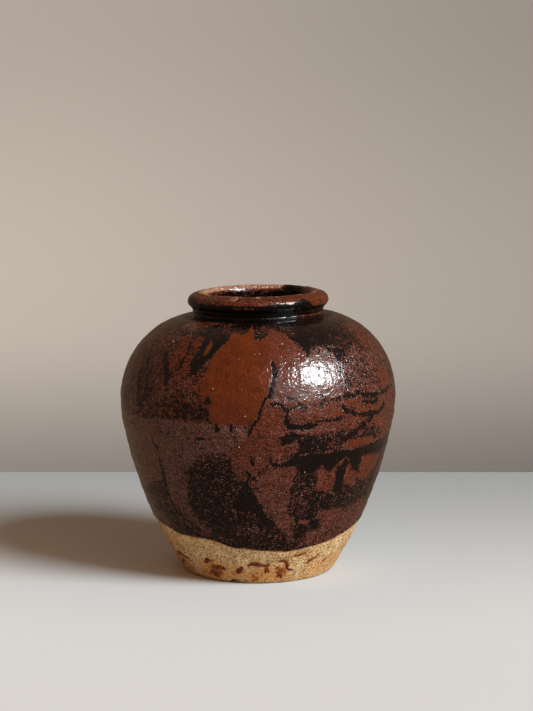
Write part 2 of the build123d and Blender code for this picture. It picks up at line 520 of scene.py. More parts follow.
# %% Clear brown patches
patches = [
    (0.62, 0.50, 3.0, [(-56, 269), (-56, 277), (-27, 277), (-29, 273), (-40, 270)]),
    (0.92, 0.06, 2.0, [
        (-60, 168), (-49, 181.5), (-36, 182), (-20, 181), (-3, 180), (-2, 164), (-30, 160),
    ]),
    (0.92, 0.55, 3.0, [(-10, 124), (-11, 150), (-8, 164), (1, 166), (4, 141), (-1, 130), (-5, 121)]),
    (0.95, 0.55, 3.0, [
        (-4, 160), (-3, 176), (0, 188), (2, 205), (9, 206), (11, 190), (10, 150), (2, 136),
    ]),
    (1.6, 1.0, 1.3, [
        (-16, 262), (-19, 257), (-20, 250), (-21, 245), (-22, 238), (-22.5, 230), (-23.5, 220),
        (-23.5, 212), (-21, 204), (-19.5, 199), (-19, 190), (-19, 181.5), (-12, 181), (-3, 181),
        (-1, 184), (1, 195), (3, 207), (6, 218), (8, 230), (9, 243), (11, 262), (5, 265), (2.5, 260),
        (0, 258), (-2, 262), (-2.7, 267), (-4, 274), (-5.5, 270), (-7, 266.5), (-12, 266.5),
        (-14.5, 268),
    ]),
    (1.3, 0.56, 1.5, [
        (3, 262), (7, 267), (10, 269.5), (12, 268), (15, 265.5), (17, 262), (18, 257.5), (20, 252),
        (21.3, 246), (22, 236), (20, 226), (16, 212), (9, 206), (6, 212), (8, 230), (6, 244), (0, 252),
    ]),
    (0.82, 0.34, 1.4, [
        (4.5, 135.5), (17.5, 135), (17.5, 131), (15.5, 127), (15, 118), (14.5, 105), (14, 95),
        (13.5, 86), (15, 80), (18, 78), (18, 70), (17.5, 60), (16, 58.5), (12, 61), (10, 68), (8, 76),
        (4, 82), (1.5, 92), (-0.5, 100), (-2.5, 107), (-4, 115), (-3, 118.5), (0, 121), (1, 127),
        (3.5, 131),
    ]),
    (1.05, 0.42, 3.0, [(4, 134), (16.5, 134), (14, 118), (2, 114), (-2, 116), (1, 124)]),
    (0.88, 0.50, 2.0, [
        (26.5, 108), (26.5, 131), (28, 135), (31, 126), (35.5, 132), (36, 112), (34, 104), (30, 106),
    ]),
    (0.92, 0.60, 1.6, [(33.5, 131), (37.5, 131.5), (40, 138.5), (36, 135)]),
    (0.88, 0.55, 2.0, [
        (41, 110), (41.5, 128), (43, 132.5), (45, 124), (46, 121), (49, 121), (50, 108), (46, 106),
    ]),
    (1.0, 0.66, 2.4, [(50, 112), (50, 132), (52, 136), (58, 134), (68, 131), (64, 116), (57, 109)]),
    (1.35, 0.80, 7.0, [(-3, 260), (4, 263), (8, 252), (9, 240), (8, 228), (4, 232), (2, 244), (-2, 250)]),
    (0.98, 0.50, 1.6, [
        (12.5, 183), (12, 190), (14, 195.5), (20, 196.5), (28, 195), (35, 191), (35.5, 184), (28, 183),
        (20, 182),
    ]),
    (0.92, 0.42, 1.8, [
        (18, 171.5), (24, 176), (32, 178.5), (42, 178.5), (44, 175), (36, 172), (28, 169.5), (20, 168.5),
    ]),
    (0.92, 0.60, 1.8, [(46, 169), (47, 174), (54, 176.5), (62, 174), (62, 169.5)]),
    (1.3, 0.78, 1.6, [(38, 152), (44, 156.5), (52, 155.5), (56, 151), (48, 147.5), (40, 148.5)]),
    (1.2, 0.66, 2.5, [(61, 203), (62, 221), (70, 224), (72, 205)]),
    (0.90, 0.50, 3.0, [(28, 75), (32, 82), (45, 81), (44, 74), (36, 71)]),
    (0.85, 0.45, 2.0, [(20.5, 71), (22, 75.5), (27, 74), (26, 70.5)]),
]

# %% Black pools over the brown
black_pools = [
    (0.10, 0.4, 5.0, [
        (-84, 58), (-74, 92), (-60, 106), (-47, 112), (-46, 98), (-46, 84), (-41, 71), (-36, 62),
        (-50, 48), (-70, 54),
    ]),
    (-0.2, 0.5, 3.0, [
        (-31, 264), (-22, 266), (-18, 264), (-21, 255), (-24, 246), (-27, 232), (-30, 228), (-31, 240),
        (-29, 252),
    ]),
    (-0.2, 0.3, 2.6, [
        (-11, 92), (-10, 104), (-8, 110), (-7, 118), (-4, 126), (-4, 116), (-2, 107), (0, 100), (2, 92),
        (2, 86), (-8, 87),
    ]),
    (-0.1, 0.3, 2.2, [
        (1.5, 90), (4, 81), (8, 75), (10, 67), (12, 60), (15, 57.5), (10, 54), (3, 64), (-1, 76),
        (-1, 88),
    ]),
    (0.12, 0.3, 7.0, [(-13, 84), (-2, 86), (8, 66), (14, 56), (4, 46), (-14, 48)]),
    (0.46, 0.2, 5.0, [(-13, 62), (-12, 71), (2, 69), (4, 62), (-4, 59)]),
    (-0.4, 0.4, 1.2, [(-21.6, 209), (-19.4, 209.5), (-19.0, 202), (-21, 201.5)]),
    (-0.1, 0.3, 2.5, [(16, 150), (15.5, 163), (20, 165), (26, 165), (31, 161), (29, 152), (24, 149.5)]),
    (-0.2, 0.3, 2.0, [(9, 159.5), (8.5, 168), (11, 172), (14.5, 170.5), (15, 164), (13, 159.5)]),
    (-0.3, 0.3, 1.6, [
        (11, 138), (13, 144), (17, 147), (22, 146), (30, 147.5), (36, 147.5), (42, 145.5), (50, 147),
        (56, 149), (66, 149), (84, 152), (84, 136), (64, 137), (56, 136), (50.5, 137), (50, 131),
        (48.5, 124), (46.5, 122.5), (44.8, 126), (44, 133), (42, 136), (40.5, 131), (40.5, 104),
        (36.3, 104), (36.5, 122), (37.5, 131), (40, 139), (36, 136), (33.5, 132), (32.5, 128), (31, 128),
        (29.5, 131), (28, 135), (26.5, 136.5), (25, 131), (23, 127), (18, 125), (17.5, 131), (16, 135.5),
    ]),
    (-0.1, 0.2, 2.5, [(18.5, 57), (18, 67), (22, 68), (24, 62), (22, 57)]),
    (-0.1, 0.2, 2.5, [(27, 63), (26.5, 72), (30, 74), (31.5, 68), (30, 63)]),
    (-0.1, 0.5, 2.5, [(37, 240), (37.5, 249), (41, 250), (42.5, 243), (40, 239)]),
    (-0.1, 0.4, 1.5, [(60, 185), (60, 190), (63.5, 190), (63, 185)]),
    (-0.3, 0.4, 2.0, [(16.5, 263), (21, 256), (22.5, 246), (22, 240.5), (24, 248), (26, 255), (24, 262)]),
]

# %% Black drips and threads: each point has its half-width
black_strokes = [
    (-0.5, 0.3, 0.8, [
        (6.5, 240.5, 2.4), (7.2, 233, 3.1), (6.2, 225, 1.9), (5, 216, 1.7), (4.3, 210.5, 1.7),
        (3, 208, 1.5), (2, 203, 1.3), (1, 196, 1.2), (0, 188, 1.1), (-1.5, 182, 1.1), (-3, 176, 1.4),
        (-4, 169, 1.1),
    ]),
    (-0.4, 0.4, 1.6, [(-16.5, 263, 2.4), (-20, 255, 3.0), (-24, 245, 3.0), (-27, 240, 2.6)]),
    (-0.2, 0.4, 3.0, [(-48, 247, 1.2), (-45, 238, 2.4), (-42, 228, 3.2), (-41, 219, 2.0)]),
    (0.0, 0.5, 4.0, [(-36, 260, 1.4), (-35, 248, 2.2), (-36, 236, 1.4)]),
    (0.0, 0.4, 5.0, [(-53, 228, 2.5), (-52, 212, 5.0), (-52, 197, 2.5)]),
    (0.0, 0.4, 5.0, [(-58.5, 242, 2.0), (-59, 222, 4.0), (-58, 200, 2.5)]),
    (-0.2, 0.4, 2.0, [(-58, 194, 2.2), (-55, 193.5, 2.6)]),
    (-0.2, 0.4, 1.6, [(-54, 181.5, 1.8), (-51.5, 181, 1.6)]),
    (-0.5, 0.4, 0.9, [(-17, 181, 0.8), (-16.4, 176, 2.6), (-16.2, 174.5, 1.8)]),
    (-0.5, 0.4, 0.9, [(-10.6, 182.5, 0.7), (-10.6, 176, 1.7)]),
    (-0.2, 0.3, 1.2, [(5, 200.5, 1.0), (8, 201.5, 1.6), (10, 199, 1.3)]),
    (-0.2, 0.3, 1.4, [(11, 207, 1.0), (13.5, 206.5, 1.8)]),
    (0.1, 0.3, 3.0, [(25, 209, 1.6), (27, 203, 2.8), (26.5, 197, 2.2)]),
    (-0.4, 0.3, 1.0, [
        (19, 197.5, 0.9), (15, 198, 1.1), (12, 194.5, 1.4), (10.8, 188, 1.6), (10.8, 182, 1.9),
        (12, 178, 2.4), (16, 176.5, 3.0), (21, 177, 2.8), (24, 180.5, 1.5), (30, 181.6, 0.8),
        (36, 181.5, 0.7),
    ]),
    (-0.3, 0.3, 1.2, [(14, 164, 1.2), (16, 167, 1.2), (18, 168.5, 0.8)]),
    (-0.2, 0.3, 1.6, [(30, 160, 2.0), (33, 165, 1.4), (37, 168, 0.9)]),
    (-0.2, 0.3, 1.4, [
        (31, 202, 1.0), (35, 203, 0.9), (38, 202.5, 2.2), (40, 203.5, 2.0), (43, 200.5, 1.0),
    ]),
    (-0.3, 0.3, 1.4, [
        (35.5, 199, 0.9), (36, 193, 1.5), (37, 188.5, 2.2), (40, 186, 2.2), (45, 183, 1.7),
        (50, 180.5, 2.3), (54, 180.5, 2.8), (57, 180, 2.0), (62, 184, 1.2),
    ]),
    (-0.2, 0.3, 1.4, [
        (43, 196, 0.8), (47, 194.5, 1.2), (50, 193, 1.9), (54, 191.5, 2.2), (58, 192.5, 1.6),
    ]),
    (-0.2, 0.3, 1.2, [(49, 190, 1.0), (51, 186, 1.3), (52, 182, 1.6)]),
    (-0.3, 0.3, 1.6, [
        (44, 205, 1.5), (46, 203.5, 1.3), (49, 200.5, 2.2), (54, 200, 2.6), (59, 199, 1.9),
        (64, 199.5, 1.8), (70, 203, 2.2),
    ]),
    (-0.2, 0.3, 2.0, [
        (38, 159, 2.6), (41, 163, 3.0), (44, 167, 3.2), (47, 171, 2.8), (51, 175, 2.2), (54, 178, 1.8),
    ]),
    (0.0, 0.3, 2.0, [(36, 155, 1.4), (40, 159, 1.4), (46, 160.5, 1.5), (52, 158.5, 1.8), (58, 156, 2.2)]),
    (-0.3, 0.3, 0.9, [(44, 166.5, 0.6), (50, 165.2, 0.9), (57, 165.6, 0.7)]),
    (-0.3, 0.3, 1.3, [(5, 147, 1.0), (5.2, 140, 1.5), (7, 137.5, 1.4), (12, 138.5, 1.6)]),
    (-0.4, 0.3, 0.9, [(-2.8, 147, 1.1), (-2.3, 139, 1.5)]),
    (-0.1, 0.3, 2.0, [(-5, 131, 1.0), (-3, 127, 1.8), (-1.5, 123, 1.6)]),
    (0.0, 0.2, 1.4, [(-49.5, 166, 0.8), (-48.6, 156, 1.6), (-46, 146, 1.4)]),
    (0.0, 0.2, 1.6, [(-46.6, 131, 1.2), (-45.2, 125, 2.0), (-46.5, 114, 2.2)]),
    (0.02, 0.2, 2.2, [
        (-46, 118, 1.4), (-46.5, 104, 2.2), (-46, 92, 3.0), (-43, 80, 3.6), (-38, 70, 3.2),
        (-32, 62, 2.4),
    ]),
    (0.0, 0.2, 1.2, [(-47, 165.6, 0.5), (-43, 167.5, 0.8), (-38, 168.4, 0.6)]),
    (0.0, 0.2, 1.2, [(-28, 166.8, 0.5), (-24, 165.6, 0.9), (-19, 165.2, 0.6)]),
    (0.0, 0.3, 1.4, [(-66, 170.5, 0.8), (-61, 170, 0.9)]),
]

# %% Brown that shows again over the black
late_patches = [
    (1.3, 0.85, 1.0, [(-24.8, 260.5), (-23.4, 257), (-24.8, 247.5), (-26.6, 247), (-26.2, 255)]),
    (1.0, 0.60, 1.6, [(42.5, 185.5), (43, 190), (47, 189.5), (48, 185.5)]),
    (0.9, 0.60, 1.6, [(37.5, 193.5), (38, 199), (45, 198.5), (46, 195.5)]),
    (1.4, 0.85, 1.5, [(53, 184), (54, 189), (60, 188.5), (60.5, 184)]),
    (0.8, 0.7, 3.0, [(-62, 60), (-58, 67), (-53, 64), (-55, 59)]),
]
front_paint = grounds + patches + black_pools + black_strokes + late_patches
print(len(front_paint), "patches and strokes show from the front")

# %% [markdown]
# ### The side that isn't seen
#
# The photograph doesn't show the back. It gets the same kinds of patch, at the same sizes, in a
# layout of its own: the black band of the right side breaks up into drips, a smaller window opens
# under the shoulder, and the purple belt of the left side runs out into a wedge. The outlines reach
# a little under the front's, so that no line shows where the two meet.

# %% The back's patches, pools and drips
back_grounds = [
    (0.10, 0.60, 6, [
        (80, 277), (80, 246), (120, 250), (150, 243), (182, 251), (216, 245), (250, 253), (282, 250),
        (282, 277),
    ]),
    (0.50, 0.42, 9, [(80, 150), (80, 204), (110, 210), (128, 190), (120, 150)]),
    (0.05, 0.30, 8, [(112, 232), (118, 188), (148, 172), (164, 186), (166, 226), (150, 246), (126, 246)]),
    (0.62, 0.36, 7, [(160, 262), (158, 196), (176, 176), (204, 180), (214, 210), (212, 250), (190, 264)]),
    (0.46, 0.55, 12, [(218, 188), (218, 252), (250, 262), (282, 252), (282, 186)]),
    (0.70, 0.10, 10, [(282, 100), (282, 150), (244, 156), (226, 140), (232, 104), (256, 92)]),
    (0.74, 0.08, 4, [(282, 152), (282, 180), (246, 183), (222, 178), (206, 166), (226, 156)]),
    (0.40, 0.38, 8, [(82, 60), (82, 140), (140, 146), (196, 150), (232, 140), (236, 60)]),
    (0.26, 0.35, 9, [(150, 58), (150, 120), (186, 136), (206, 126), (204, 58)]),
]
back_patches = [
    (1.35, 0.80, 1.4, [
        (168, 262), (164, 250), (163, 236), (165, 220), (164, 206), (168, 196), (176, 190), (185, 193),
        (190, 204), (194, 218), (197, 232), (196, 246), (192, 256), (186, 262), (182, 268), (178, 262),
        (173, 266),
    ]),
    (0.90, 0.22, 2.0, [
        (214, 160), (236, 162), (252, 158), (250, 140), (242, 120), (232, 100), (226, 84), (222, 98),
        (218, 120), (214, 140),
    ]),
    (0.78, 0.50, 2.0, [(96, 138), (112, 136), (118, 120), (114, 100), (108, 84), (100, 96), (96, 116)]),
    (0.92, 0.50, 1.8, [(100, 190), (118, 194), (132, 190), (128, 183), (104, 182)]),
    (0.90, 0.60, 2.0, [(134, 158), (150, 163), (166, 160), (160, 152), (140, 150)]),
    (1.20, 0.75, 2.0, [(226, 214), (236, 222), (244, 216), (240, 204), (230, 202)]),
    (0.85, 0.40, 3.0, [(176, 170), (190, 174), (204, 168), (198, 150), (184, 146), (176, 156)]),
    (0.90, 0.45, 2.0, [(136, 120), (146, 126), (152, 114), (146, 98), (138, 104)]),
    (0.92, 0.55, 2.0, [(262, 226), (268, 240), (276, 236), (274, 218), (266, 214)]),
    (0.80, 0.45, 3.0, [(160, 66), (174, 74), (192, 70), (186, 60), (166, 58)]),
]
back_pools = [
    (-0.3, 0.3, 2.0, [
        (80, 136), (80, 152), (96, 156), (108, 150), (120, 151), (128, 144), (118, 140), (104, 136),
        (96, 130),
    ]),
    (-0.2, 0.3, 3.0, [(180, 112), (190, 100), (196, 78), (190, 60), (178, 60), (172, 84)]),
    (-0.2, 0.4, 5.0, [(282, 56), (282, 84), (262, 78), (248, 62), (252, 48), (274, 50)]),
    (-0.2, 0.3, 2.5, [(120, 96), (132, 92), (140, 78), (134, 64), (122, 70)]),
    (-0.3, 0.4, 2.0, [(204, 252), (210, 240), (216, 226), (222, 232), (220, 250), (212, 260)]),
    (-0.2, 0.4, 1.6, [(84, 178), (96, 182), (110, 179), (116, 172), (104, 170), (90, 172)]),
]
back_strokes = [
    (-0.3, 0.3, 1.4, [(98, 134, 2.4), (99, 118, 1.8), (98, 102, 1.1)]),
    (-0.3, 0.3, 1.4, [(112, 140, 2.0), (113, 126, 1.5), (112, 112, 0.9)]),
    (-0.5, 0.3, 0.9, [
        (192, 246, 2.2), (194, 232, 2.7), (193, 216, 1.8), (190, 202, 1.4), (189, 190, 1.2),
        (187, 178, 1.3), (186, 166, 1.0),
    ]),
    (-0.4, 0.4, 1.6, [(160, 258, 2.4), (158, 242, 3.0), (157, 226, 2.0)]),
    (-0.2, 0.3, 1.4, [(128, 176, 1.0), (140, 178, 1.8), (152, 175, 1.4), (166, 178, 0.9)]),
    (-0.2, 0.3, 1.4, [(196, 200, 1.0), (206, 197, 2.0), (216, 199, 1.4), (226, 196, 0.8)]),
    (-0.2, 0.4, 1.6, [(236, 194, 1.4), (250, 192, 2.2), (264, 195, 1.2)]),
    (0.0, 0.4, 5.0, [(248, 240, 3.0), (250, 222, 4.5), (248, 202, 2.5)]),
    (-0.1, 0.2, 1.4, [(232, 162, 0.8), (234, 150, 1.6), (231, 138, 1.2)]),
    (-0.2, 0.3, 1.2, [(148, 150, 1.0), (150, 140, 1.6), (149, 130, 1.0)]),
    (-0.1, 0.2, 1.2, [(206, 164, 0.6), (216, 166, 1.0), (228, 165, 0.7)]),
]
back_paint = back_grounds + back_patches + back_pools + back_strokes
print(len(back_paint), "patches and strokes lie at the back")

# %% The paint of one point
top_from = 251 * mm
foot_from = 60 * mm
blend_height = 14 * mm
belt_height = 178 * mm
belt_reach = 34 * mm
edge_wobble = [(0.9, 8.0, 14), (0.55, 3.2, 15)]
full_wobble_softness = 1.5
squat = np.array((1, 1, 2.4))
upright = np.array((1, 1, 0.45))


def paint(points, turns, runs):
    """The two numbers of the glaze's colour at each point: how brown, and how warm."""
    heights = points[:, 2]
    brown = 0.46 + 0.22 * waves(points * upright, 22 * mm, 11) + 0.10 * waves(points, 7 * mm, 12)
    warm = 0.38 + 0.12 * waves(points, 40 * mm, 13)
    top = np.clip((heights - top_from) / blend_height, 0, 1)
    # Over the top of the shoulder the glaze turns browner towards the left and right sides: partly its own
    # brown, partly a painted warm reflection where the shoulder turns away from the front.
    brown += (0.30 * waves(points, 32 * mm, 20) + 0.40 * np.sin(turns) ** 2 - 0.05 - brown) * top
    foot = np.clip((foot_from - heights) / blend_height, 0, 1)
    brown += (0.04 - brown) * foot
    warm += (0.14 - warm) * foot
    wobble = layered(points, edge_wobble) * mm
    for brown_here, warm_here, softness, shape in back_paint + front_paint:
        wobble_here = wobble * min(1.0, softness / full_wobble_softness)
        amount = cover(turns, runs, wobble_here, shape, 1.3 * softness + 1.2)
        brown += (brown_here - brown) * amount
        warm += (warm_here - warm) * amount
    belt = np.exp(-(((heights - belt_height) / belt_reach) ** 4))
    brown += 0.10 * waves(points, 6 * mm, 16) + 0.14 * belt * waves(points * squat, 13 * mm, 17)
    brown += 0.16 * belt * waves(points * (1, 1, 2.2), 8 * mm, 19)
    warm += 0.12 * waves(points, 11 * mm, 18)
    return brown, np.clip(warm, 0, 1)

# %% [markdown]
# ## The finishes
#
# Colours are written as a paint chart would give them, in sRGB hex, and turned to the linear values
# that light works with. One function adds any node, with its settings and what feeds it. Every finish
# starts from the same things, which are made together: noises at real sizes, spread through the
# object's own space, and the numbers that were painted on the mesh.

# %% Helpers for every material
def paint_colour(code):
    """Linear red, green, blue and 1 from an sRGB hex colour."""
    parts = [int(code[start : start + 2], 16) / 255 for start in (1, 3, 5)]
    return (*[part / 12.92 if part <= 0.04045 else ((part + 0.055) / 1.055) ** 2.4 for part in parts], 1.0)


def add_node(tree, kind, inputs=(), **settings):
    """Add a node, set it up, and fill the inputs in use, in order or by name, from values or nodes."""
    made = tree.nodes.new("ShaderNode" + kind)
    for name, value in settings.items():
        setattr(made, name, value)
    named = isinstance(inputs, dict)
    places = [made.inputs[name] for name in inputs] if named else [put for put in made.inputs if put.enabled]
    for place, value in zip(places, inputs.values() if named else inputs):
        if isinstance(value, bpy.types.Node):
            value = next(output for output in value.outputs if output.enabled)
        if isinstance(value, bpy.types.NodeSocket):
            tree.links.new(value, place)
        else:
            place.default_value = value
    return made


def start_material(name, patterns, painted=()):
    """A new material, its empty tree, and its noises and painted numbers, each under its own name."""
    material = bpy.data.materials.new(name)
    material.use_nodes = True
    tree = material.node_tree
    tree.nodes.clear()
    where = add_node(tree, "TexCoord").outputs["Object"]
    given = SimpleNamespace(where=where)
    for pattern, (size, detail, roughness) in patterns.items():
        inputs = {"Vector": where, "Scale": 1 / size, "Detail": detail, "Roughness": roughness}
        setattr(given, pattern, add_node(tree, "TexNoise", inputs))
    for number in painted:
        setattr(given, number, add_node(tree, "Attribute", attribute_name=number).outputs["Fac"])
    return material, tree, given


glass_bend = 1.5

# %% [markdown]
# ### Iron glaze
#
# The real coat is a glassy iron glaze, a tenmoku: black where it is thick, rust to orange where it
# is thin, in specks of a millimetre or two where one turns into the other. It is smooth glass, so it
# has a tight reflection, but its skin is rippled like orange peel, which breaks a window's
# reflection into bright crumbs. Where it fired purple, pale matt crystals lie in it, which shine
# softly under the glassy coat. The mesh carries how brown and how warm the glaze is. Noise of three
# sizes is added before the step between black and brown, so that soft steps turn into specks.

# %% The glaze material
glaze_patterns = {
    "specks": (1.7 * mm, 1.0, 0.5),
    "flecks": (4.5 * mm, 3.0, 0.65),
    "clouds": (15 * mm, 3.0, 0.55),
    "dust": (1.5 * mm, 1.0, 0.5),
    "peel": (2.6 * mm, 1.0, 0.4),
    "pits": (1.1 * mm, 1.0, 0.5),
    "bubbles": (4.0 * mm, 1.0, 0.5),
}
coat_roughness = 0.095
worn_roughness = 0.8


def glaze_colour(tree, given, crumbs, brown_share, matt_share, darkest):
    """The coat's own colour, from black through purple and red to orange brown, with its crystals."""
    full_brown = paint_colour("#5D362E")
    for low, high, code in ((0.0, 0.5, "#5E2B1A"), (0.5, 1.0, "#612607")):
        share = add_node(tree, "MapRange", (given.warm, low, high))
        full_brown = add_node(tree, "Mix", (share, full_brown, paint_colour(code)), data_type="RGBA")

    fine_tone = add_node(tree, "MapRange", (crumbs, 0.62, 0.98, 0.24, 1.28))
    wide = add_node(tree, "Math", (given.clouds, 1.2, given.flecks), operation="MULTIPLY_ADD")
    wide_tone = add_node(tree, "MapRange", (wide, 0.75, 1.45, 0.7, 1.2))
    tone = add_node(tree, "Math", (fine_tone, wide_tone), operation="MULTIPLY")
    calm_tone = add_node(tree, "Math", (wide_tone, 0.84), operation="MULTIPLY")
    thinness = add_node(tree, "Math", (given.brown, 0.5, given.warm), operation="MULTIPLY_ADD")
    evenness = add_node(tree, "MapRange", (thinness, 0.85, 1.6, 0.0, 0.7))
    settled_tone = add_node(tree, "Mix", (evenness, tone, calm_tone))
    multiplied = {"data_type": "RGBA", "blend_type": "MULTIPLY"}
    toned_brown = add_node(tree, "Mix", (1.0, full_brown, settled_tone), **multiplied)

    crystals = add_node(tree, "MapRange", (crumbs, 0.86, 1.0, 0.0, 0.4))
    pale_share = add_node(tree, "Math", (crystals, matt_share), operation="MULTIPLY")
    pale_brown = add_node(tree, "Mix", (pale_share, toned_brown, paint_colour("#916658")), data_type="RGBA")
    return add_node(tree, "Mix", (brown_share, paint_colour(darkest), pale_brown), data_type="RGBA")


def glaze_skin(tree, given, brown_share, peel_height):
    """The coat's bumps: an orange-peel ripple with pits, and blisters where it is brown."""
    ripple = add_node(tree, "Math", (given.pits, 0.3, given.peel), operation="MULTIPLY_ADD")
    ripple_share = add_node(tree, "Math", (brown_share, 0.5, 0.5), operation="MULTIPLY_ADD")
    rippled = add_node(tree, "Math", (ripple, ripple_share), operation="MULTIPLY")
    blisters = add_node(tree, "MapRange", (given.bubbles, 0.54, 0.74))
    blister_share = add_node(tree, "Math", (brown_share, 0.75, 0.1), operation="MULTIPLY_ADD")
    raised = add_node(tree, "Math", (blisters, blister_share, rippled), operation="MULTIPLY_ADD")
    return add_node(tree, "Bump", {"Height": raised, "Distance": peel_height, "Strength": 1.0})


def iron_glaze(name, darkest, coat_weight=1.0, peel_height=0.27 * mm):
    """Glossy brown and black glaze, whose colours follow the numbers painted on the mesh."""
    material, tree, given = start_material(name, glaze_patterns, ("brown", "warm", "worn"))
    level = given.brown
    for grain, amount in ((given.specks, 2.4), (given.flecks, 1.3), (given.clouds, 0.5)):
        level = add_node(tree, "Math", (grain, amount, level), operation="MULTIPLY_ADD")
    brown_share = add_node(tree, "MapRange", (level, 2.32, 2.76))
    crumbs = add_node(tree, "Math", (given.specks, 0.6, given.dust), operation="MULTIPLY_ADD")
    matt_share = add_node(tree, "MapRange", (given.warm, 0.1, 0.65, 1.0, 0.12))
    coat_colour = glaze_colour(tree, given, crumbs, brown_share, matt_share, darkest)
    bump = glaze_skin(tree, given, brown_share, peel_height)

    wear_level = add_node(tree, "Math", (given.flecks, 0.8, given.worn), operation="MULTIPLY_ADD")
    wear = add_node(tree, "MapRange", (wear_level, 0.8, 1.05))
    rubbed = add_node(tree, "MapRange", (crumbs, 0.84, 0.96))
    worn_colours = (paint_colour("#7D5642"), paint_colour("#CCA482"))
    worn_colour = add_node(tree, "Mix", (rubbed, *worn_colours), data_type="RGBA")
    gloss = add_node(tree, "MapRange", (given.clouds, 0.3, 0.7, 0.28, 0.38))
    matt_crystals = add_node(tree, "Math", (brown_share, matt_share), operation="MULTIPLY")
    glassy = {
        "Base Color": add_node(tree, "Mix", (wear, coat_colour, worn_colour), data_type="RGBA"),
        "Roughness": add_node(tree, "Mix", (wear, gloss, worn_roughness)),
        "IOR": glass_bend,
        "Specular IOR Level": add_node(tree, "Math", (matt_crystals, 0.45, 0.12), operation="MULTIPLY_ADD"),
        "Coat Weight": coat_weight,
        "Coat Roughness": coat_roughness,
        "Coat IOR": glass_bend,
        "Normal": bump,
        "Coat Normal": bump,
    }
    add_node(tree, "OutputMaterial", {"Surface": add_node(tree, "BsdfPrincipled", glassy)})
    return material


outer_finish = iron_glaze("iron_glaze", "#0D0707")
lining_finish = iron_glaze("dark_lining_glaze", "#0B0505")
rim_finish = iron_glaze("dry_rim_glaze", "#050301", 0.6, 0.14 * mm)
print("The outer glaze has", len(outer_finish.node_tree.nodes), "nodes")

# %% [markdown]
# ### Bare stoneware
#
# The foot is unglazed stoneware, fired buff, coarse and dry, with iron specks and sand in it, and
# blushes of orange where the flame or thin glaze reached it. It is matt all over. The mesh carries
# where glaze has stained it and where it blushed, and the specks are noise at the size of real grains.

# %% The clay material
clay_patterns = {
    "mottle": (11 * mm, 3.0, 0.6),
    "grain": (2.6 * mm, 3.0, 0.65),
    "fine": (0.9 * mm, 2.0, 0.6),
    "coarse": (2.2 * mm, 1.0, 0.5),
}
sand_height = 0.85 * mm


def bare_clay(name):
    """Buff, sandy stoneware with iron specks and rust stains painted on the mesh."""
    material, tree, given = start_material(name, clay_patterns, ("stain", "blush"))
    stained = add_node(tree, "Math", (given.grain, 1.6, given.stain), operation="MULTIPLY_ADD")
    colour = paint_colour("#C09963")
    for share, code in (
        (add_node(tree, "MapRange", (given.mottle, 0.35, 0.65)), "#E6C491"),
        (add_node(tree, "MapRange", (given.grain, 0.37, 0.50, 0.8, 0.0)), "#704923"),
        (given.blush, "#D19252"),
        (add_node(tree, "MapRange", (given.fine, 0.385, 0.43, 1.0, 0.0)), "#3A2717"),
        (add_node(tree, "MapRange", (given.coarse, 0.285, 0.315, 1.0, 0.0)), "#362114"),
        (add_node(tree, "MapRange", (stained, 1.0, 1.5)), "#985217"),
        (add_node(tree, "MapRange", (stained, 1.5, 1.8)), "#4F1D0C"),
    ):
        colour = add_node(tree, "Mix", (share, colour, paint_colour(code)), data_type="RGBA")
    sand = add_node(tree, "Math", (given.fine, 0.5, given.grain), operation="MULTIPLY_ADD")
    dry = {
        "Base Color": colour,
        "Roughness": add_node(tree, "MapRange", (stained, 1.4, 1.8, 0.88, 0.45)),
        "IOR": glass_bend,
        "Specular IOR Level": 0.3,
        "Normal": add_node(tree, "Bump", {"Height": sand, "Distance": sand_height, "Strength": 1.0}),
    }
    add_node(tree, "OutputMaterial", {"Surface": add_node(tree, "BsdfPrincipled", dry)})
    return material


clay_finish = bare_clay("buff_stoneware")
print("The clay has", len(clay_finish.node_tree.nodes), "nodes")

# %% [markdown]
# ### Thin glaze and quartz
#
# Drops of the same glaze fell on the bare foot and fired thin: rust-brown to nearly black, with half
# a gloss. Here and there a grain of quartz from the sandy clay has come up through the glaze. Both
# are raised pieces of their own, so only a cloudy colour of two tones and the sheen are left to do.

# %% The splash and quartz materials
def cloudy_glass(name, dark, pale, clouds, cloud_range, roughness, bump_height=0.0):
    """Glass of two tones, clouded by noise given as its size, detail and roughness."""
    material, tree, given = start_material(name, {"clouds": clouds})
    share = add_node(tree, "MapRange", (given.clouds, *cloud_range))
    tones = (share, paint_colour(dark), paint_colour(pale))
    cloudy = {
        "Base Color": add_node(tree, "Mix", tones, data_type="RGBA"),
        "Roughness": roughness,
        "IOR": glass_bend,
    }
    if bump_height:
        bumps = {"Height": given.clouds, "Distance": bump_height, "Strength": 1.0}
        cloudy["Normal"] = add_node(tree, "Bump", bumps)
    add_node(tree, "OutputMaterial", {"Surface": add_node(tree, "BsdfPrincipled", cloudy)})
    return material


splash_finish = cloudy_glass(
    "thin_rust_glaze", "#331209", "#863815", (4 * mm, 3.0, 0.6), (0.36, 0.62), 0.42, 0.2 * mm
)
quartz_finish = cloudy_glass("quartz_grains", "#8F7A6C", "#E4D8CC", (0.8 * mm, 2.0, 0.5), (0.0, 1.0), 0.25)
print("Finishes:", [finish.name for finish in bpy.data.materials])

# %% [markdown]
# ## The glaze on the wall
#
# The outer coat is a thin closed shell in three lengths, each within the size of mesh that exports
# whole: the belly down to the wavy line, the shoulder, and the neck with the rolled rim. They meet in
# the seam's groove and under the neck ring, where the real surface has a line as well. The belly's
# rows are squeezed towards the wavy edge, where the glaze is thickest and rounds off.

# %% The wavy line where the glaze stops
glaze_waves = [(1, 0.131, -147.0), (2, 0.098, 180.0), (3, 0.054, -109.0)]
glaze_dips = [
    (-48, 11, -3.6), (-26, 6, 1.6), (-14, 6, -1.4), (16, 5, -1.2), (100, 12, -2.0), (150, 8, 2.0),
    (-120, 9, -2.2),
]


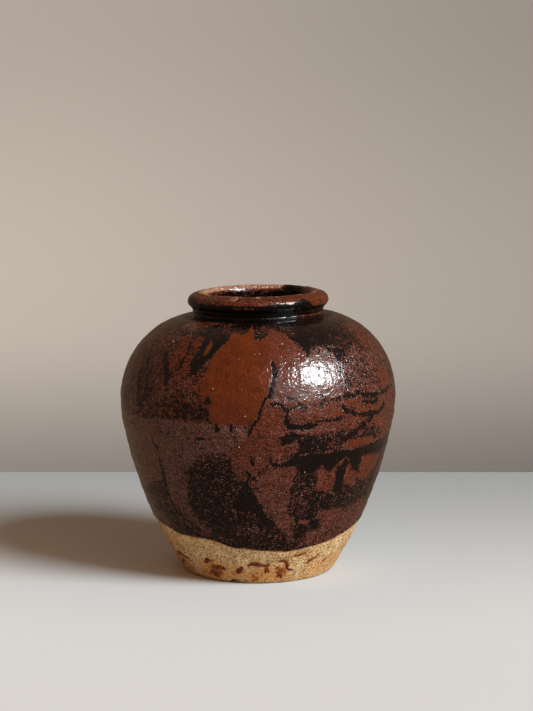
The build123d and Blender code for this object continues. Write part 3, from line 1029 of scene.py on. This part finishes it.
def line_height(turns):
    """Height of the glaze's lower edge at each turn from the front."""
    height = np.full(len(turns), glaze_line_height)
    for count, rise_share, peak in glaze_waves:
        height += rise_share * glaze_line_height * np.cos(count * turns - radians(peak))
    for turn, width, rise in glaze_dips:
        height += rise * mm * hump(degrees_from(turns, turn), width)
    return height


# %% Rows of a glaze shell
hidden_row_gap = 12 * mm
slope_reach = 0.3 * mm


def wall_rows(start, end, gap, edge_depth=0.0):
    """Runs and depths of a glaze shell's outer rows, then its inner ones, between two runs."""
    outer = np.linspace(start, end, int((end - start) / gap) + 1)
    inner = np.linspace(end, start, int((end - start) / hidden_row_gap) + 2)
    depths = np.zeros(len(outer))
    depths[0] = edge_depth
    runs = np.concatenate([outer, inner])
    return runs, np.concatenate([depths, np.full(len(inner), glaze_thickness)])


def outward_from(ahead):
    """Directions of length 1 that point outwards, across the given steps up the outline."""
    ahead = ahead / np.hypot(ahead[:, 0], ahead[:, 1])[:, None]
    return np.stack([ahead[:, 1], -ahead[:, 0]], 1)


def read_skin(runs, depths):
    """(radius, height) at runs along the glaze's outline and depths under it."""
    outward = outward_from(read(skin, runs + slope_reach) - read(skin, runs - slope_reach))
    return read(skin, runs) - depths[:, None] * outward


# %% A length of glaze
edge_ripple = 0.35 * mm
edge_roll = 0.35 * mm
edge_roll_width = 1.6 * mm
end_fade = 6 * mm


def glaze_shell(name, runs, depths, wavy=False):
    """A spun length of glaze, painted, with its relief and its lean; wavy gives it the lower edge."""
    profile = read_skin(runs, depths)
    piece = spin_profile(name, profile)
    points = points_of(piece)
    rows = rows_of(points, profile)
    turns = turns_of(points)
    run = runs[rows]
    depth = depths[rows]
    if wavy:
        line = line_height(turns)
        ragged_run = run_at(line + edge_ripple * waves(points, 14 * mm, 21))
        from_top = (runs.max() - run) / (runs.max() - runs.min())
        run = runs.max() - from_top * (runs.max() - ragged_run)
        from_edge = np.maximum(run - run_at(line), 0)
        thicker = edge_roll * hump(from_edge - edge_roll_width, edge_roll_width)
        depth = depth - thicker * (depth < glaze_thickness / 2)
    flat = read_skin(run, depth)
    true_points = turned(flat, turns)
    brown, warm = paint(true_points, turns, run)
    keep_value(piece, "brown", brown)
    keep_value(piece, "warm", warm)
    stand_out = relief(true_points, flat[:, 1]) * np.clip(1 - depth / glaze_thickness, 0, 1)
    if not wavy:
        stand_out *= np.clip((runs.max() - run) / end_fade, 0, 1)
    set_points(piece, warp(turned(read_skin(run, depth - stand_out), turns)))
    return piece


# %% Belly glaze
belly_rows = wall_rows(run_at(glaze_line_height), run_at(seam_height), 1.25 * mm, 0.55 * mm)
belly_glaze = glaze_shell("belly_glaze", *belly_rows, wavy=True)
dress(belly_glaze, outer_finish, "brown_black_glaze", "outer_glaze")

# %% Shoulder glaze
ring_foot_run = run_at(shoulder_height - 0.3 * mm)
shoulder_rows = wall_rows(run_at(seam_height), ring_foot_run, 1.45 * mm)
shoulder_glaze = glaze_shell("shoulder_glaze", *shoulder_rows)
dress(shoulder_glaze, outer_finish, "brown_black_glaze", "outer_glaze")

# %% [markdown]
# ## Neck and rolled rim
#
# The rim was rolled outwards over a finger. Its underside and the short neck hold thick black glaze,
# while on the top face the glaze ran thin and fired red-brown. The inner edge of the lip is worn
# through to the clay, most of all at the back and left, where lids and ladles rubbed. It is painted
# by height and turn, because every mark there runs round the jar.

# %% The neck and rim's glaze
rim_brown_from = [
    (-180, 293.0), (-100, 294.0), (-68, 296.0), (-58, 291.6), (4, 291.4), (14, 292.8), (31, 293.4),
    (36, 295.8), (43, 295.8), (49, 289.0), (56, 287.5), (100, 288.0), (140, 292.0), (180, 293.0),
]
lip_wear = [
    (-180, 0.95), (-95, 1.0), (-62, 0.9), (-40, 0.62), (0, 0.58), (90, 0.55), (118, 0.3), (126, 0.0),
    (148, 0.0), (156, 0.85), (180, 0.95),
]
brown_spots = [
    (0.3, 60, 50, 279, 2.0), (0.85, 58, 22, 281, 3.6), (0.4, -52, 14, 280, 3.6), (1.2, -11, 9, 288.8, 0.9),
]
black_spots = [(1.5, 137, 13, 296, 6.5)]
worn_spots = [(0.5, -21, 5, 297.6, 2.0), (0.4, 0, 2, 298.2, 1.6), (0.35, 68, 3, 294.6, 0.9)]
lip_waves = [(0.5, 9.0, 31), (0.3, 3.5, 32)]
neck_lumps = [(0.15, 15.0, 34), (0.10, 5.5, 35)]
right_side_turn = radians(78)
black_inside = 69 * mm
black_fade = 4 * mm
worn_inside = 66.5 * mm
worn_inside_fade = 4.5 * mm
worn_above = 295.6 * mm
worn_above_fade = 1.2 * mm


def round_the_rim(turns, marks):
    """A value read from a list of (turn in degrees, value) marks, at each turn."""
    return np.interp(np.degrees(turns), *zip(*marks))


def spots(turns, heights, marks):
    """Soft blocks of paint: (amount, turn, half its width in degrees, height, half its height in mm)."""
    paint_here = np.zeros(len(turns))
    for amount, turn, half_turn, height, half_height in marks:
        aside = (np.degrees(turns) - turn) / half_turn
        above = (heights / mm - height) / half_height
        paint_here += amount * np.exp(-(aside**4) - above**4)
    return paint_here


def paint_rim(points, turns):
    """How brown, how warm and how worn the glaze of the neck and rim is."""
    radii = np.hypot(points[:, 0], points[:, 1])
    heights = points[:, 2]
    uneven = layered(points, lip_waves)
    to_right = np.clip(np.cos(turns - right_side_turn), 0, 1) ** 3
    brown_edge = round_the_rim(turns, rim_brown_from) * mm + 0.6 * mm * uneven
    on_top = np.clip((heights - brown_edge) / (1.8 * mm) + 0.5, 0, 1)
    brown = -0.25 + 0.15 * uneven + (1.05 + 0.25 * to_right + 0.25 * uneven) * on_top
    inside_lip = np.clip((black_inside - radii) / black_fade, 0, 1)
    brown += spots(turns, heights, brown_spots)
    brown -= spots(turns, heights, black_spots) * inside_lip
    warm = 0.55 + 0.12 * waves(points, 20 * mm, 33) + 0.3 * to_right
    near_bore = np.clip((worn_inside - radii) / worn_inside_fade, 0, 1)
    near_top = np.clip((heights - worn_above) / worn_above_fade, 0, 1)
    worn = near_bore * near_top * (round_the_rim(turns, lip_wear) + 0.25 * uneven)
    worn += spots(turns, heights, worn_spots)
    return brown, np.clip(warm, 0, 1), worn


neck_runs, neck_depths = wall_rows(ring_foot_run - 2.5 * mm, skin_run[-1] - fine_step, 0.6 * mm)
neck_profile = read_skin(neck_runs, neck_depths)
neck_glaze = spin_profile("neck_and_rim_glaze", neck_profile)
neck_points = points_of(neck_glaze)
neck_turns = turns_of(neck_points)
neck_rows = rows_of(neck_points, neck_profile)
for value_name, values in zip(("brown", "warm", "worn"), paint_rim(neck_points, neck_turns)):
    keep_value(neck_glaze, value_name, values)
neck_rise = layered(neck_points, neck_lumps) * mm * (neck_depths[neck_rows] < glaze_thickness / 2)
neck_flat = read_skin(neck_runs[neck_rows], neck_depths[neck_rows] - neck_rise)
set_points(neck_glaze, warp(turned(neck_flat, neck_turns)))
dress(neck_glaze, rim_finish, "brown_black_glaze", "outer_glaze")

# %% [markdown]
# ## The lining
#
# Glaze was swilled round the inside, so the lining covers the bore, the wall and the floor. Seen from
# above it is dark and glossy, a dark red-brown at the back left near the mouth, with the thrower's
# finger rings under it.

# %% The lining glaze
inner_corner_size = 1.6 * mm
face_row_count = 190
back_row_count = 90
red_side_turn = radians(-132)
red_above = 289 * mm
red_fade = 5 * mm
finger_ring_height = 0.3 * mm
finger_ring_spacing = 15 * mm
ringed_from = 25 * mm
ringed_to = 255 * mm
least_radius = 20 * mm


def lining_path(offset):
    """The inside from the lip down to the middle of the floor, at a lining's offset off the clay."""
    inward = -wall_thickness - offset
    wall, bend, crown = wall_arcs(inward, 90)
    ceiling = shoulder_height + inward
    floor_height = floor_thickness + offset
    wall_down = np.concatenate([crown[:0:-1], bend[:0:-1], wall[::-1]])
    wall_down = wall_down[wall_down[:, 1] > floor_height]
    bore = np.array([[mouth_radius - offset, height] for height in (lip_center[1] + 0.5 * mm, ceiling)])
    return soften(np.concatenate([bore, wall_down, [[0.0, floor_height]]]), inner_corner_size)


inner_face = lining_path(lining_thickness)
inner_back = lining_path(0.0)
face_rows = read(inner_face, np.linspace(0, along(inner_face)[-1], face_row_count))
back_rows = read(inner_back, np.linspace(along(inner_back)[-1], 0, back_row_count))
face_rows[-1, 0] = 0.0
back_rows[0, 0] = 0.0
lining = spin_profile("lining_glaze", np.concatenate([face_rows, back_rows]), steps=lining_steps)
lining_points = points_of(lining)
lining_turns = turns_of(lining_points)
lining_radii = np.hypot(lining_points[:, 0], lining_points[:, 1])
lining_heights = lining_points[:, 2].copy()
near_mouth = np.clip((lining_heights - red_above) / red_fade, 0, 1)
red_side = (0.5 + 0.5 * np.cos(lining_turns - red_side_turn)) ** 2
keep_value(lining, "brown", -0.2 + 0.62 * near_mouth * red_side + 0.2 * waves(lining_points, 12 * mm, 41))
keep_value(lining, "warm", np.full(len(lining_points), 0.45))
keep_value(lining, "worn", np.full(len(lining_points), -0.6))
ring_place = 2 * pi * lining_heights / finger_ring_spacing + 2 * np.sin(lining_turns)
finger_rings = finger_ring_height * np.maximum(np.sin(ring_place), 0)
finger_rings *= (lining_heights < ringed_to) & (lining_heights > ringed_from)
lining_points[:, :2] *= (1 - finger_rings / np.maximum(lining_radii, least_radius))[:, None]
set_points(lining, warp(lining_points))
dress(lining, lining_finish, "lining_glaze", "inner_glaze")

# %% [markdown]
# ## The bare foot
#
# Below the glaze the clay shows: the end of the lower wall, and the floor disc with its rounded edge
# and its underside, which was cut from the wheel with a twisted wire. The wire left arcs like the
# lines of a shell. Both walls keep the shared outline, and sand lifts their skin by tenths of a
# millimetre.

# %% Splashes and stains on the foot
splashes = [
    [(-66, 21, 1.0), (-62, 25.0, 1.5), (-59.5, 25.6, 1.4), (-56, 23.5, 1.3), (-50, 20, 0.8)],
    [(-69, 9, 0.8), (-64, 14, 1.1), (-60, 17.5, 0.7)],
    [(-36, 22, 1.4), (-33.5, 25.6, 2.2), (-31, 25, 1.5)],
    [(-28, 20, 1.2), (-25, 18.2, 1.8), (-22, 16.5, 1.0)],
    [(-33.5, 11, 1.2), (-31, 8, 2.2), (-28.5, 6.3, 1.2)],
    [(-14.5, 12.5, 1.5), (-12.7, 16, 2.4), (-11, 20, 1.2)],
    [(-20, 2.2, 0.6), (-17.5, 3.0, 1.0), (-15, 2.6, 0.6)],
    [(-6.6, 22.3, 0.7), (-4, 24.6, 1.7), (-1, 24.5, 1.8), (3, 23, 1.1), (6.2, 23.4, 0.9), (7, 26, 0.6)],
    [(4.6, 13, 0.6), (5.3, 17, 1.0), (4.8, 20.5, 0.6)],
    [
        (13, 26.3, 0.9), (15, 28.2, 1.2), (17.3, 27, 1.2), (18.6, 22.5, 1.2), (19, 18, 1.1),
        (22.5, 14.9, 1.3),
    ],
    [(12.6, 13, 0.9), (14, 13, 1.2), (15.5, 9, 1.0), (16.5, 5.5, 0.6)],
    [(11.5, 18.4, 0.6), (13.3, 19, 0.7)],
    [(23, 32.4, 0.6), (26, 33.7, 0.9), (29, 34.4, 0.6)],
    [(32.5, 22, 0.5), (37, 26.2, 0.7), (41, 30.4, 0.6)],
    [(47.5, 20.5, 0.5), (50, 21.8, 0.6)],
]
back_splashes = [
    [(118, 24, 0.8), (121, 27, 1.2), (125, 27.5, 0.9)],
    [(133, 12, 1.2), (135, 16, 1.8), (136, 21, 0.8)],
    [(152, 30, 0.8), (157, 32, 1.4), (162, 31, 1.0), (165, 27, 0.6)],
    [(160, 18, 0.9), (161, 14, 1.3), (161, 9, 0.7)],
    [(176, 22, 1.0), (179, 25, 1.7), (184, 24, 1.2), (187, 21, 0.7)],
    [(196, 10, 1.4), (199, 13, 2.0), (201, 18, 1.0)],
    [(214, 28, 0.6), (220, 31, 0.8), (225, 35, 0.5)],
    [(238, 16, 1.2), (242, 19, 1.8), (247, 18, 0.8)],
]
stains = [
    (0.61, 6, [(-66, 13), (-62, 20), (-58, 21), (-56, 17), (-62, 11)]),
    (0.78, 6, [(-36, 6), (-34, 16), (-32, 24), (-22, 19), (-23, 14), (-28, 5)]),
    (0.52, 5, [(-44, 6), (-42, 11), (-34, 12), (-34, 7)]),
    (0.64, 5, [(-16, 10), (-14, 18), (-10, 21), (-10, 14)]),
    (0.66, 4, [(-4.5, 2), (-4, 13), (-0.5, 14), (0, 4)]),
    (0.62, 4, [(3.5, 12), (4, 21), (7, 20), (6.5, 12)]),
    (0.74, 4, [(12, 5), (12, 20), (15, 20), (19, 17), (18, 8)]),
    (0.30, 9, [(-70, 4), (-72, 20), (-66, 26), (-50, 20), (-52, 6)]),
    (0.50, 6, [(130, 6), (131, 20), (138, 22), (140, 10)]),
    (0.44, 6, [(156, 8), (158, 24), (164, 24), (165, 9)]),
    (0.40, 7, [(176, 10), (178, 20), (186, 21), (187, 12)]),
    (0.55, 5, [(194, 4), (196, 15), (203, 18), (204, 7)]),
    (0.40, 6, [(236, 8), (239, 17), (248, 16), (247, 8)]),
]
blushes = [
    (0.9, 9, [(-44, 3), (-40, 26), (-20, 24), (-18, 4)]),
    (0.9, 8, [(-19, 6), (-17, 22), (-8, 22), (-8, 8)]),
    (0.9, 9, [(-6, 1), (-7, 16), (8, 22), (20, 22), (22, 4)]),
    (0.7, 8, [(-74, 6), (-74, 28), (-58, 28), (-54, 8)]),
    (0.55, 16, [(30, 4), (36, 22), (66, 24), (80, 8)]),
    (0.45, 14, [(-80, 30), (-70, 50), (-55, 46), (-60, 24)]),
    (0.35, 16, [(150, 6), (150, 30), (200, 28), (205, 4)]),
    (0.40, 14, [(-130, 10), (-128, 34), (-100, 30), (-104, 8)]),
]

# %% The foot's two walls
clay_lumps = [(0.18, 20.0, 51), (0.08, 4.0, 52), (0.05, 1.6, 53)]
stain_wobble = [(1.1, 3.2, 54), (1.1, 7.0, 55)]
halo_width = 0.7
halo_amount = 0.85
halo_softness = 4.0
line_stain = 0.6
line_stain_width = 1.0 * mm
outline_stride = 4


def clay_relief(points):
    """How far the bare clay stands out: soft lumps, trimming lines and sand."""
    heights = points[:, 2]
    lines = 0.07 * np.sin(2 * pi * heights / (4.6 * mm) + 1.5 * np.sin(2 * turns_of(points)))
    return (lines + layered(points, clay_lumps)) * mm


def strongest(marks, turns, runs, wobble):
    """The strongest of several soft marks at each point, each one (amount, softness, outline)."""
    most = np.zeros(len(turns))
    for amount, softness, shape in marks:
        most = np.maximum(most, amount * cover(turns, runs, wobble, shape, softness))
    return most


def halo(stroke):
    """The stain round a splash: its stroke, a little wider."""
    wide = [(turn, height, half_width + halo_width) for turn, height, half_width in stroke]
    return (halo_amount, halo_softness, wide)


def outward_at(flat):
    """The outward direction of the clay's outline nearest to each (radius, height) point."""
    gaps = ((flat[:, None, :] - outside[None, ::outline_stride, :]) ** 2).sum(2)
    nearest = np.argmin(gaps, axis=1) * outline_stride
    nearest = np.clip(nearest, outline_stride, len(outside) - outline_stride - 1)
    return outward_from(outside[nearest + outline_stride] - outside[nearest - outline_stride])


def place_clay(piece, profile, rows, shown):
    """Stain a clay wall, give its shown skin some relief, and lean it with the jar."""
    turns = turns_of(points_of(piece))
    flat = profile[rows]
    true_points = turned(flat, turns)
    runs = run_at(flat[:, 1])
    wobble = layered(true_points, stain_wobble) * mm
    stain_marks = stains + [halo(stroke) for stroke in splashes + back_splashes]
    near_line = hump(line_height(turns) - flat[:, 1], line_stain_width)
    stain = np.maximum(strongest(stain_marks, turns, runs, wobble), line_stain * near_line)
    keep_value(piece, "stain", stain)
    keep_value(piece, "blush", strongest(blushes, turns, runs, wobble))
    flat = flat + outward_at(profile)[rows] * (clay_relief(true_points) * shown)[:, None]
    flat[:, 1] = np.maximum(flat[:, 1], 0)
    set_points(piece, warp(turned(flat, turns)))


def clay_rows(heights, depth=0.0):
    """Points of the clay's outline at given heights, moved inwards by a depth along the radius."""
    end = int(np.argmax(outside[:, 1] > shoulder_height - 0.5 * mm))
    return np.stack([np.interp(heights, outside[:end, 1], outside[:end, 0]) - depth, heights], 1)


shown_top = 68 * mm
shown_fade = 6 * mm
shown_row_count = 88
level_wall = wall_thickness * 1.18
shown_heights = np.linspace(floor_thickness, shown_top, shown_row_count)
covered_heights = np.linspace(shown_top + shown_fade, seam_low, 12)
inner_heights = np.linspace(seam_low, floor_thickness, 14)
foot_profile = np.concatenate(
    [clay_rows(shown_heights), clay_rows(covered_heights), clay_rows(inner_heights, level_wall)]
)
foot_wall = spin_profile("foot_and_lower_wall", foot_profile)
foot_points = points_of(foot_wall)
foot_rows = rows_of(foot_points, foot_profile)
foot_shown = np.clip((shown_top - foot_points[:, 2]) / shown_fade, 0, 1) * (foot_rows < shown_row_count)
place_clay(foot_wall, foot_profile, foot_rows, foot_shown)
dress(foot_wall, clay_finish, "stoneware", "lower_wall")

# %% The floor disc and its wire-cut underside
edge_center = (foot_radius - foot_edge_round * 0.95, foot_edge_round)
edge_top = 2.2 * mm
under_row_count = 78
top_row_count = 5
cut_radius = 74 * mm
wire_hold = (70 * mm, -95 * mm)
cut_line_gap = 3.4 * mm
cut_line_height = 0.16 * mm
hollow_height = 0.5 * mm

disc_profile = np.concatenate(
    [
        np.stack([np.linspace(0, edge_center[0], under_row_count), np.zeros(under_row_count)], 1),
        arc(edge_center, (foot_edge_round,) * 2, -82, -20)[::3],
        clay_rows(np.linspace(edge_top, floor_thickness, 16)),
        np.stack([np.linspace(foot_radius, 0, top_row_count), np.full(top_row_count, floor_thickness)], 1),
    ]
)
floor_disc = spin_profile("wire_cut_floor", disc_profile)
disc_points = points_of(floor_disc)
disc_rows = rows_of(disc_points, disc_profile)
disc_radii = np.hypot(disc_points[:, 0], disc_points[:, 1])
disc_shown = (disc_points[:, 2] > edge_top + 0.1 * mm) & (disc_radii > foot_radius - 1 * mm)
place_clay(floor_disc, disc_profile, disc_rows, disc_shown)
disc_points = points_of(floor_disc)
under = (disc_points[:, 2] < 0.1 * mm) & (disc_radii < cut_radius)
from_hold = np.hypot(disc_points[:, 0] - wire_hold[0], disc_points[:, 1] - wire_hold[1])
from_hold += 0.8 * mm * waves(disc_points, 18 * mm, 61)
cut_lines = cut_line_height * (1 + np.sin(2 * pi * from_hold / cut_line_gap))
hollowed = hollow_height * np.clip((cut_radius - disc_radii) / (10 * mm), 0, 1)
cut_fade = np.clip((cut_radius - disc_radii) / (4 * mm), 0, 1)
disc_points[:, 2] += under * cut_fade * (cut_lines + hollowed)
set_points(floor_disc, disc_points)
dress(floor_disc, clay_finish, "stoneware", "floor_disc")

# %% [markdown]
# ## The splashes on the foot
#
# Each drop is a ball, flattened onto the wall and drawn out along the line its glaze ran, so that it
# stands a few tenths of a millimetre proud with a rounded edge.

# %% Raised drops
splash_height = 0.42 * mm
splash_spread = 1.35
line_row_count = 61
line_smoothing = 5
lowest_splash = 0.4 * mm


def splash(stroke):
    """One drop of glaze along a stroke of (turn, height, half-width) points."""
    bpy.ops.object.select_all(action="DESELECT")
    bpy.ops.mesh.primitive_uv_sphere_add(segments=40, ring_count=20, radius=1)
    drop = bpy.context.object
    ball = points_of(drop)
    degrees_round, heights, half_widths = np.array(stroke, dtype=float).T
    radius = clay_rows(np.array([heights.mean() * mm]))[0, 0]
    laid = np.stack([np.radians(degrees_round) * radius, heights * mm, splash_spread * half_widths * mm], 1)
    run = along(laid[:, :2])
    places = np.linspace(0, run[-1], line_row_count)
    padded = np.pad(columns_at(places, run, laid), ((line_smoothing, line_smoothing), (0, 0)), mode="edge")
    line = smoothed(padded, np.full(2 * line_smoothing + 1, 1 / (2 * line_smoothing + 1)))
    ball_places = (ball[:, 0] + 1) / 2 * run[-1]
    center = columns_at(ball_places, places, line)
    aside = columns_at(ball_places, places, outward_from(np.gradient(line[:, :2], axis=0)))
    fuller = (1 - np.minimum(ball[:, 0] ** 2, 0.999)) ** -0.3
    spread = center[:, :2] - aside * (ball[:, 1] * fuller * center[:, 2])[:, None]
    turns = spread[:, 0] / radius
    flat = clay_rows(np.maximum(spread[:, 1], lowest_splash))
    true_points = turned(flat, turns)
    ragged = 1 + 0.35 * waves(true_points, 2.5 * mm, 71)
    stand_out = clay_relief(true_points) + splash_height * np.maximum(ball[:, 2], -0.4) * ragged
    flat = flat + outward_at(flat) * stand_out[:, None]
    set_points(drop, warp(turned(flat, turns)))
    return drop


splash_marks = joined([splash(stroke) for stroke in splashes + back_splashes], "foot_splashes")
dress(splash_marks, splash_finish, "splash_glaze", "foot_splash_marks")

# %% [markdown]
# ## The hidden clay
#
# Under the glaze lie the coil of the seam, the shoulder, the neck and the rim. Nothing of them shows,
# but they must lean as the glaze does or they would come through it, so copies of the solids are
# merged and warped the same way.

# %% Warped copies of the covered pieces
for node_name in ("belly_seam_coil", "shoulder_wall", "neck_ring", "neck_collar", "rolled_rim"):
    only(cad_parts[node_name])
    bpy.ops.object.duplicate()
    covered = bpy.context.object
    covered.name = node_name + "_clay"
    bpy.ops.object.mode_set(mode="EDIT")
    bpy.ops.mesh.select_all(action="SELECT")
    bpy.ops.mesh.remove_doubles(threshold=0.001 * mm)
    bpy.ops.object.mode_set(mode="OBJECT")
    set_points(covered, warp(points_of(covered)))
    dress(covered, clay_finish, "stoneware", node_name)

# %% [markdown]
# ## Grains of quartz
#
# The grains show as pale, glassy beads about a millimetre wide. One bead is modelled and copied. The
# front's grains are listed one by one, as turn, height and size, and the back's by chance.

# %% The quartz beads
grain_places = [
    (-49, 257, 0.95), (-41, 169.5, 0.7), (-18.4, 216.5, 0.75), (12, 257.5, 1.1), (-8.8, 244.5, 0.45),
    (-1.5, 249, 0.4), (0.5, 249.5, 0.4), (-5, 190, 0.8), (-8.5, 177, 0.6), (17.5, 168.5, 0.7),
    (28, 164, 0.9), (-7.6, 158, 0.7), (-17, 169.5, 0.5), (61, 166.5, 0.8), (0.7, 146, 0.5),
    (0.8, 153, 0.4), (20, 128.5, 0.6), (20, 103, 0.6), (18.8, 53.5, 0.6), (14.5, 22.5, 1.0),
]
back_grain_turns = np.linspace(85, 275, 26)
sunk_share = 0.15

grain_chance = np.random.default_rng(81)
for turn in back_grain_turns:
    aside, height, size = [grain_chance.uniform(*limits) for limits in ((-6, 6), (62, 262), (0.4, 0.9))]
    grain_places.append((turn + aside, height, size))
bpy.ops.object.select_all(action="DESELECT")
bpy.ops.mesh.primitive_ico_sphere_add(subdivisions=2, radius=1)
bead = bpy.context.object
bead_shape = points_of(bead)
beads = []
for turn, height, size in grain_places:
    only(bead)
    bpy.ops.object.duplicate()
    grain = bpy.context.object
    beads.append(grain)
    squash = grain_chance.uniform(0.6, 1.2, 3) * size * mm
    flat = read_skin(np.array([run_at(height * mm)]), np.array([sunk_share * size * mm]))
    set_points(grain, warp(turned(flat, np.radians([turn]))) + bead_shape * squash)
quartz_grains = joined(beads, "quartz_grains")
dress(quartz_grains, quartz_finish, "brown_black_glaze", "outer_glaze")
bpy.data.objects.remove(bead)

# %% [markdown]
# ## Floor, wall and light
#
# The setting is a plain studio: a pale floor and a pale wall behind, both with painted shade, the
# floor darker towards the wall and the wall darker towards its right, its foot and its top, and
# two soft lamps far away on the right, where the window's reflection puts them: the window itself,
# and the faint glow round it. A dim warm room fills the shadows. It has one tone where it lights the
# jar, a greyer one where the glaze mirrors it, and a pale one where it is seen past the wall. The wall
# can be seen through from behind, so that it never hides the jar from another side.

# %% The stage
def plain(name, code, marks, one_sided=False):
    """A plain matt finish with painted shade along the object's axes: (axis, from, to, share at from, at
    to).
    """
    material, tree, given = start_material(name, {})
    place = add_node(tree, "SeparateXYZ", (given.where,))
    colour = paint_colour(code)
    for axis, *shading in marks:
        shade = (place.outputs[axis], *shading)
        share = add_node(tree, "MapRange", shade, interpolation_type="SMOOTHSTEP")
        colour = add_node(tree, "Mix", (1.0, colour, share), data_type="RGBA", blend_type="MULTIPLY")
    matt = {"Base Color": colour, "Roughness": 0.9, "Specular IOR Level": 0.0}
    surface = add_node(tree, "BsdfPrincipled", matt)
    if one_sided:
        behind = add_node(tree, "NewGeometry").outputs["Backfacing"]
        surface = add_node(tree, "MixShader", (behind, surface, add_node(tree, "BsdfTransparent")))
    add_node(tree, "OutputMaterial", {"Surface": surface})
    return material


bpy.ops.mesh.primitive_plane_add(size=8)
floor = bpy.context.object
floor.name = "floor"
# Painted shade: the floor's colour darkens towards the wall.
floor.data.materials.append(plain("pale_floor", "#CBD0D1", [("Y", -0.3, 0.5, 1.0, 0.52)]))
floor.visible_glossy = False

wall_distance = 0.49
wall_middle_height = 0.33
# Painted shade: the wall's colour darkens towards its right, its foot and its top.
wall_painted_shade = [("X", -0.3, 0.45, 1.0, 0.66), ("Y", -0.4, -0.14, 0.52, 1.0), ("Y", -0.1, 0.35, 1.0, 0.76)]
wall_place = (0, wall_distance, wall_middle_height)
bpy.ops.mesh.primitive_plane_add(size=1, location=wall_place, rotation=(pi / 2, 0, 0))
wall = bpy.context.object
wall.name = "wall"
wall.scale = (1.3, 0.9, 1)
wall.visible_glossy = False
wall.data.materials.append(plain("pale_wall", "#C2BBB3", wall_painted_shade, one_sided=True))

# %% Light
shine_point = Vector((62 * mm, -119 * mm, 228 * mm))
lamp_distance = 40.0


def hang_lamp(name, direction, width_share, height_share, brightness, colour):
    """A soft oval lamp that looks at the shoulder; its width and height are shares of its distance."""
    towards_lamp = Vector(direction).normalized()
    bpy.ops.object.light_add(type="AREA", location=shine_point + lamp_distance * towards_lamp)
    lamp = bpy.context.object
    lamp.name = name
    lamp.data.shape = "ELLIPSE"
    lamp.data.size = width_share * lamp_distance
    lamp.data.size_y = height_share * lamp_distance
    lamp.data.energy = brightness * pi * pi / 4 * lamp.data.size * lamp.data.size_y
    lamp.data.color = colour
    lamp.rotation_euler = (-towards_lamp).to_track_quat("-Z", "Y").to_euler()


hang_lamp("window_lamp", (0.672, -0.43, 0.603), 0.471, 0.429, 30.4, (0.93, 0.975, 1.0))
hang_lamp("window_glow", (0.583, -0.694, 0.423), 1.0, 0.857, 0.72, (0.95, 0.96, 1.0))

# %% The dim room
room_strength = 0.4

world = bpy.data.worlds.new("studio")
bpy.context.scene.world = world
world.use_nodes = True
room = world.node_tree
room.nodes.clear()
ray = add_node(room, "LightPath")
room_tone = paint_colour("#E09C5C")
for kind_of_ray, code in (("Is Glossy Ray", "#9A7E68"), ("Is Camera Ray", "#B4A99D")):
    tones = (ray.outputs[kind_of_ray], room_tone, paint_colour(code))
    room_tone = add_node(room, "Mix", tones, data_type="RGBA")
seen = ray.outputs["Is Camera Ray"]
strength = add_node(room, "Math", (seen, 1.0 - room_strength, room_strength), operation="MULTIPLY_ADD")
backdrop = add_node(room, "Background", {"Color": room_tone, "Strength": strength})
add_node(room, "OutputWorld", {"Surface": backdrop})

# %% Camera
camera_distance = 1.958275
camera_height = 0.511278
camera_tilt_down = 0.14273
camera_lens = 93.32
camera_shift = 0.0117

camera_data = bpy.data.cameras.new("camera")
camera = bpy.data.objects.new("camera", camera_data)
bpy.context.scene.collection.objects.link(camera)
camera.location = (0, -camera_distance, camera_height)
camera.rotation_euler = (pi / 2 - camera_tilt_down, 0, 0)
camera_data.sensor_width = 36
camera_data.lens = camera_lens
camera_data.shift_x = camera_shift
bpy.context.scene.camera = camera
bpy.context.scene.view_settings.view_transform = "Standard"
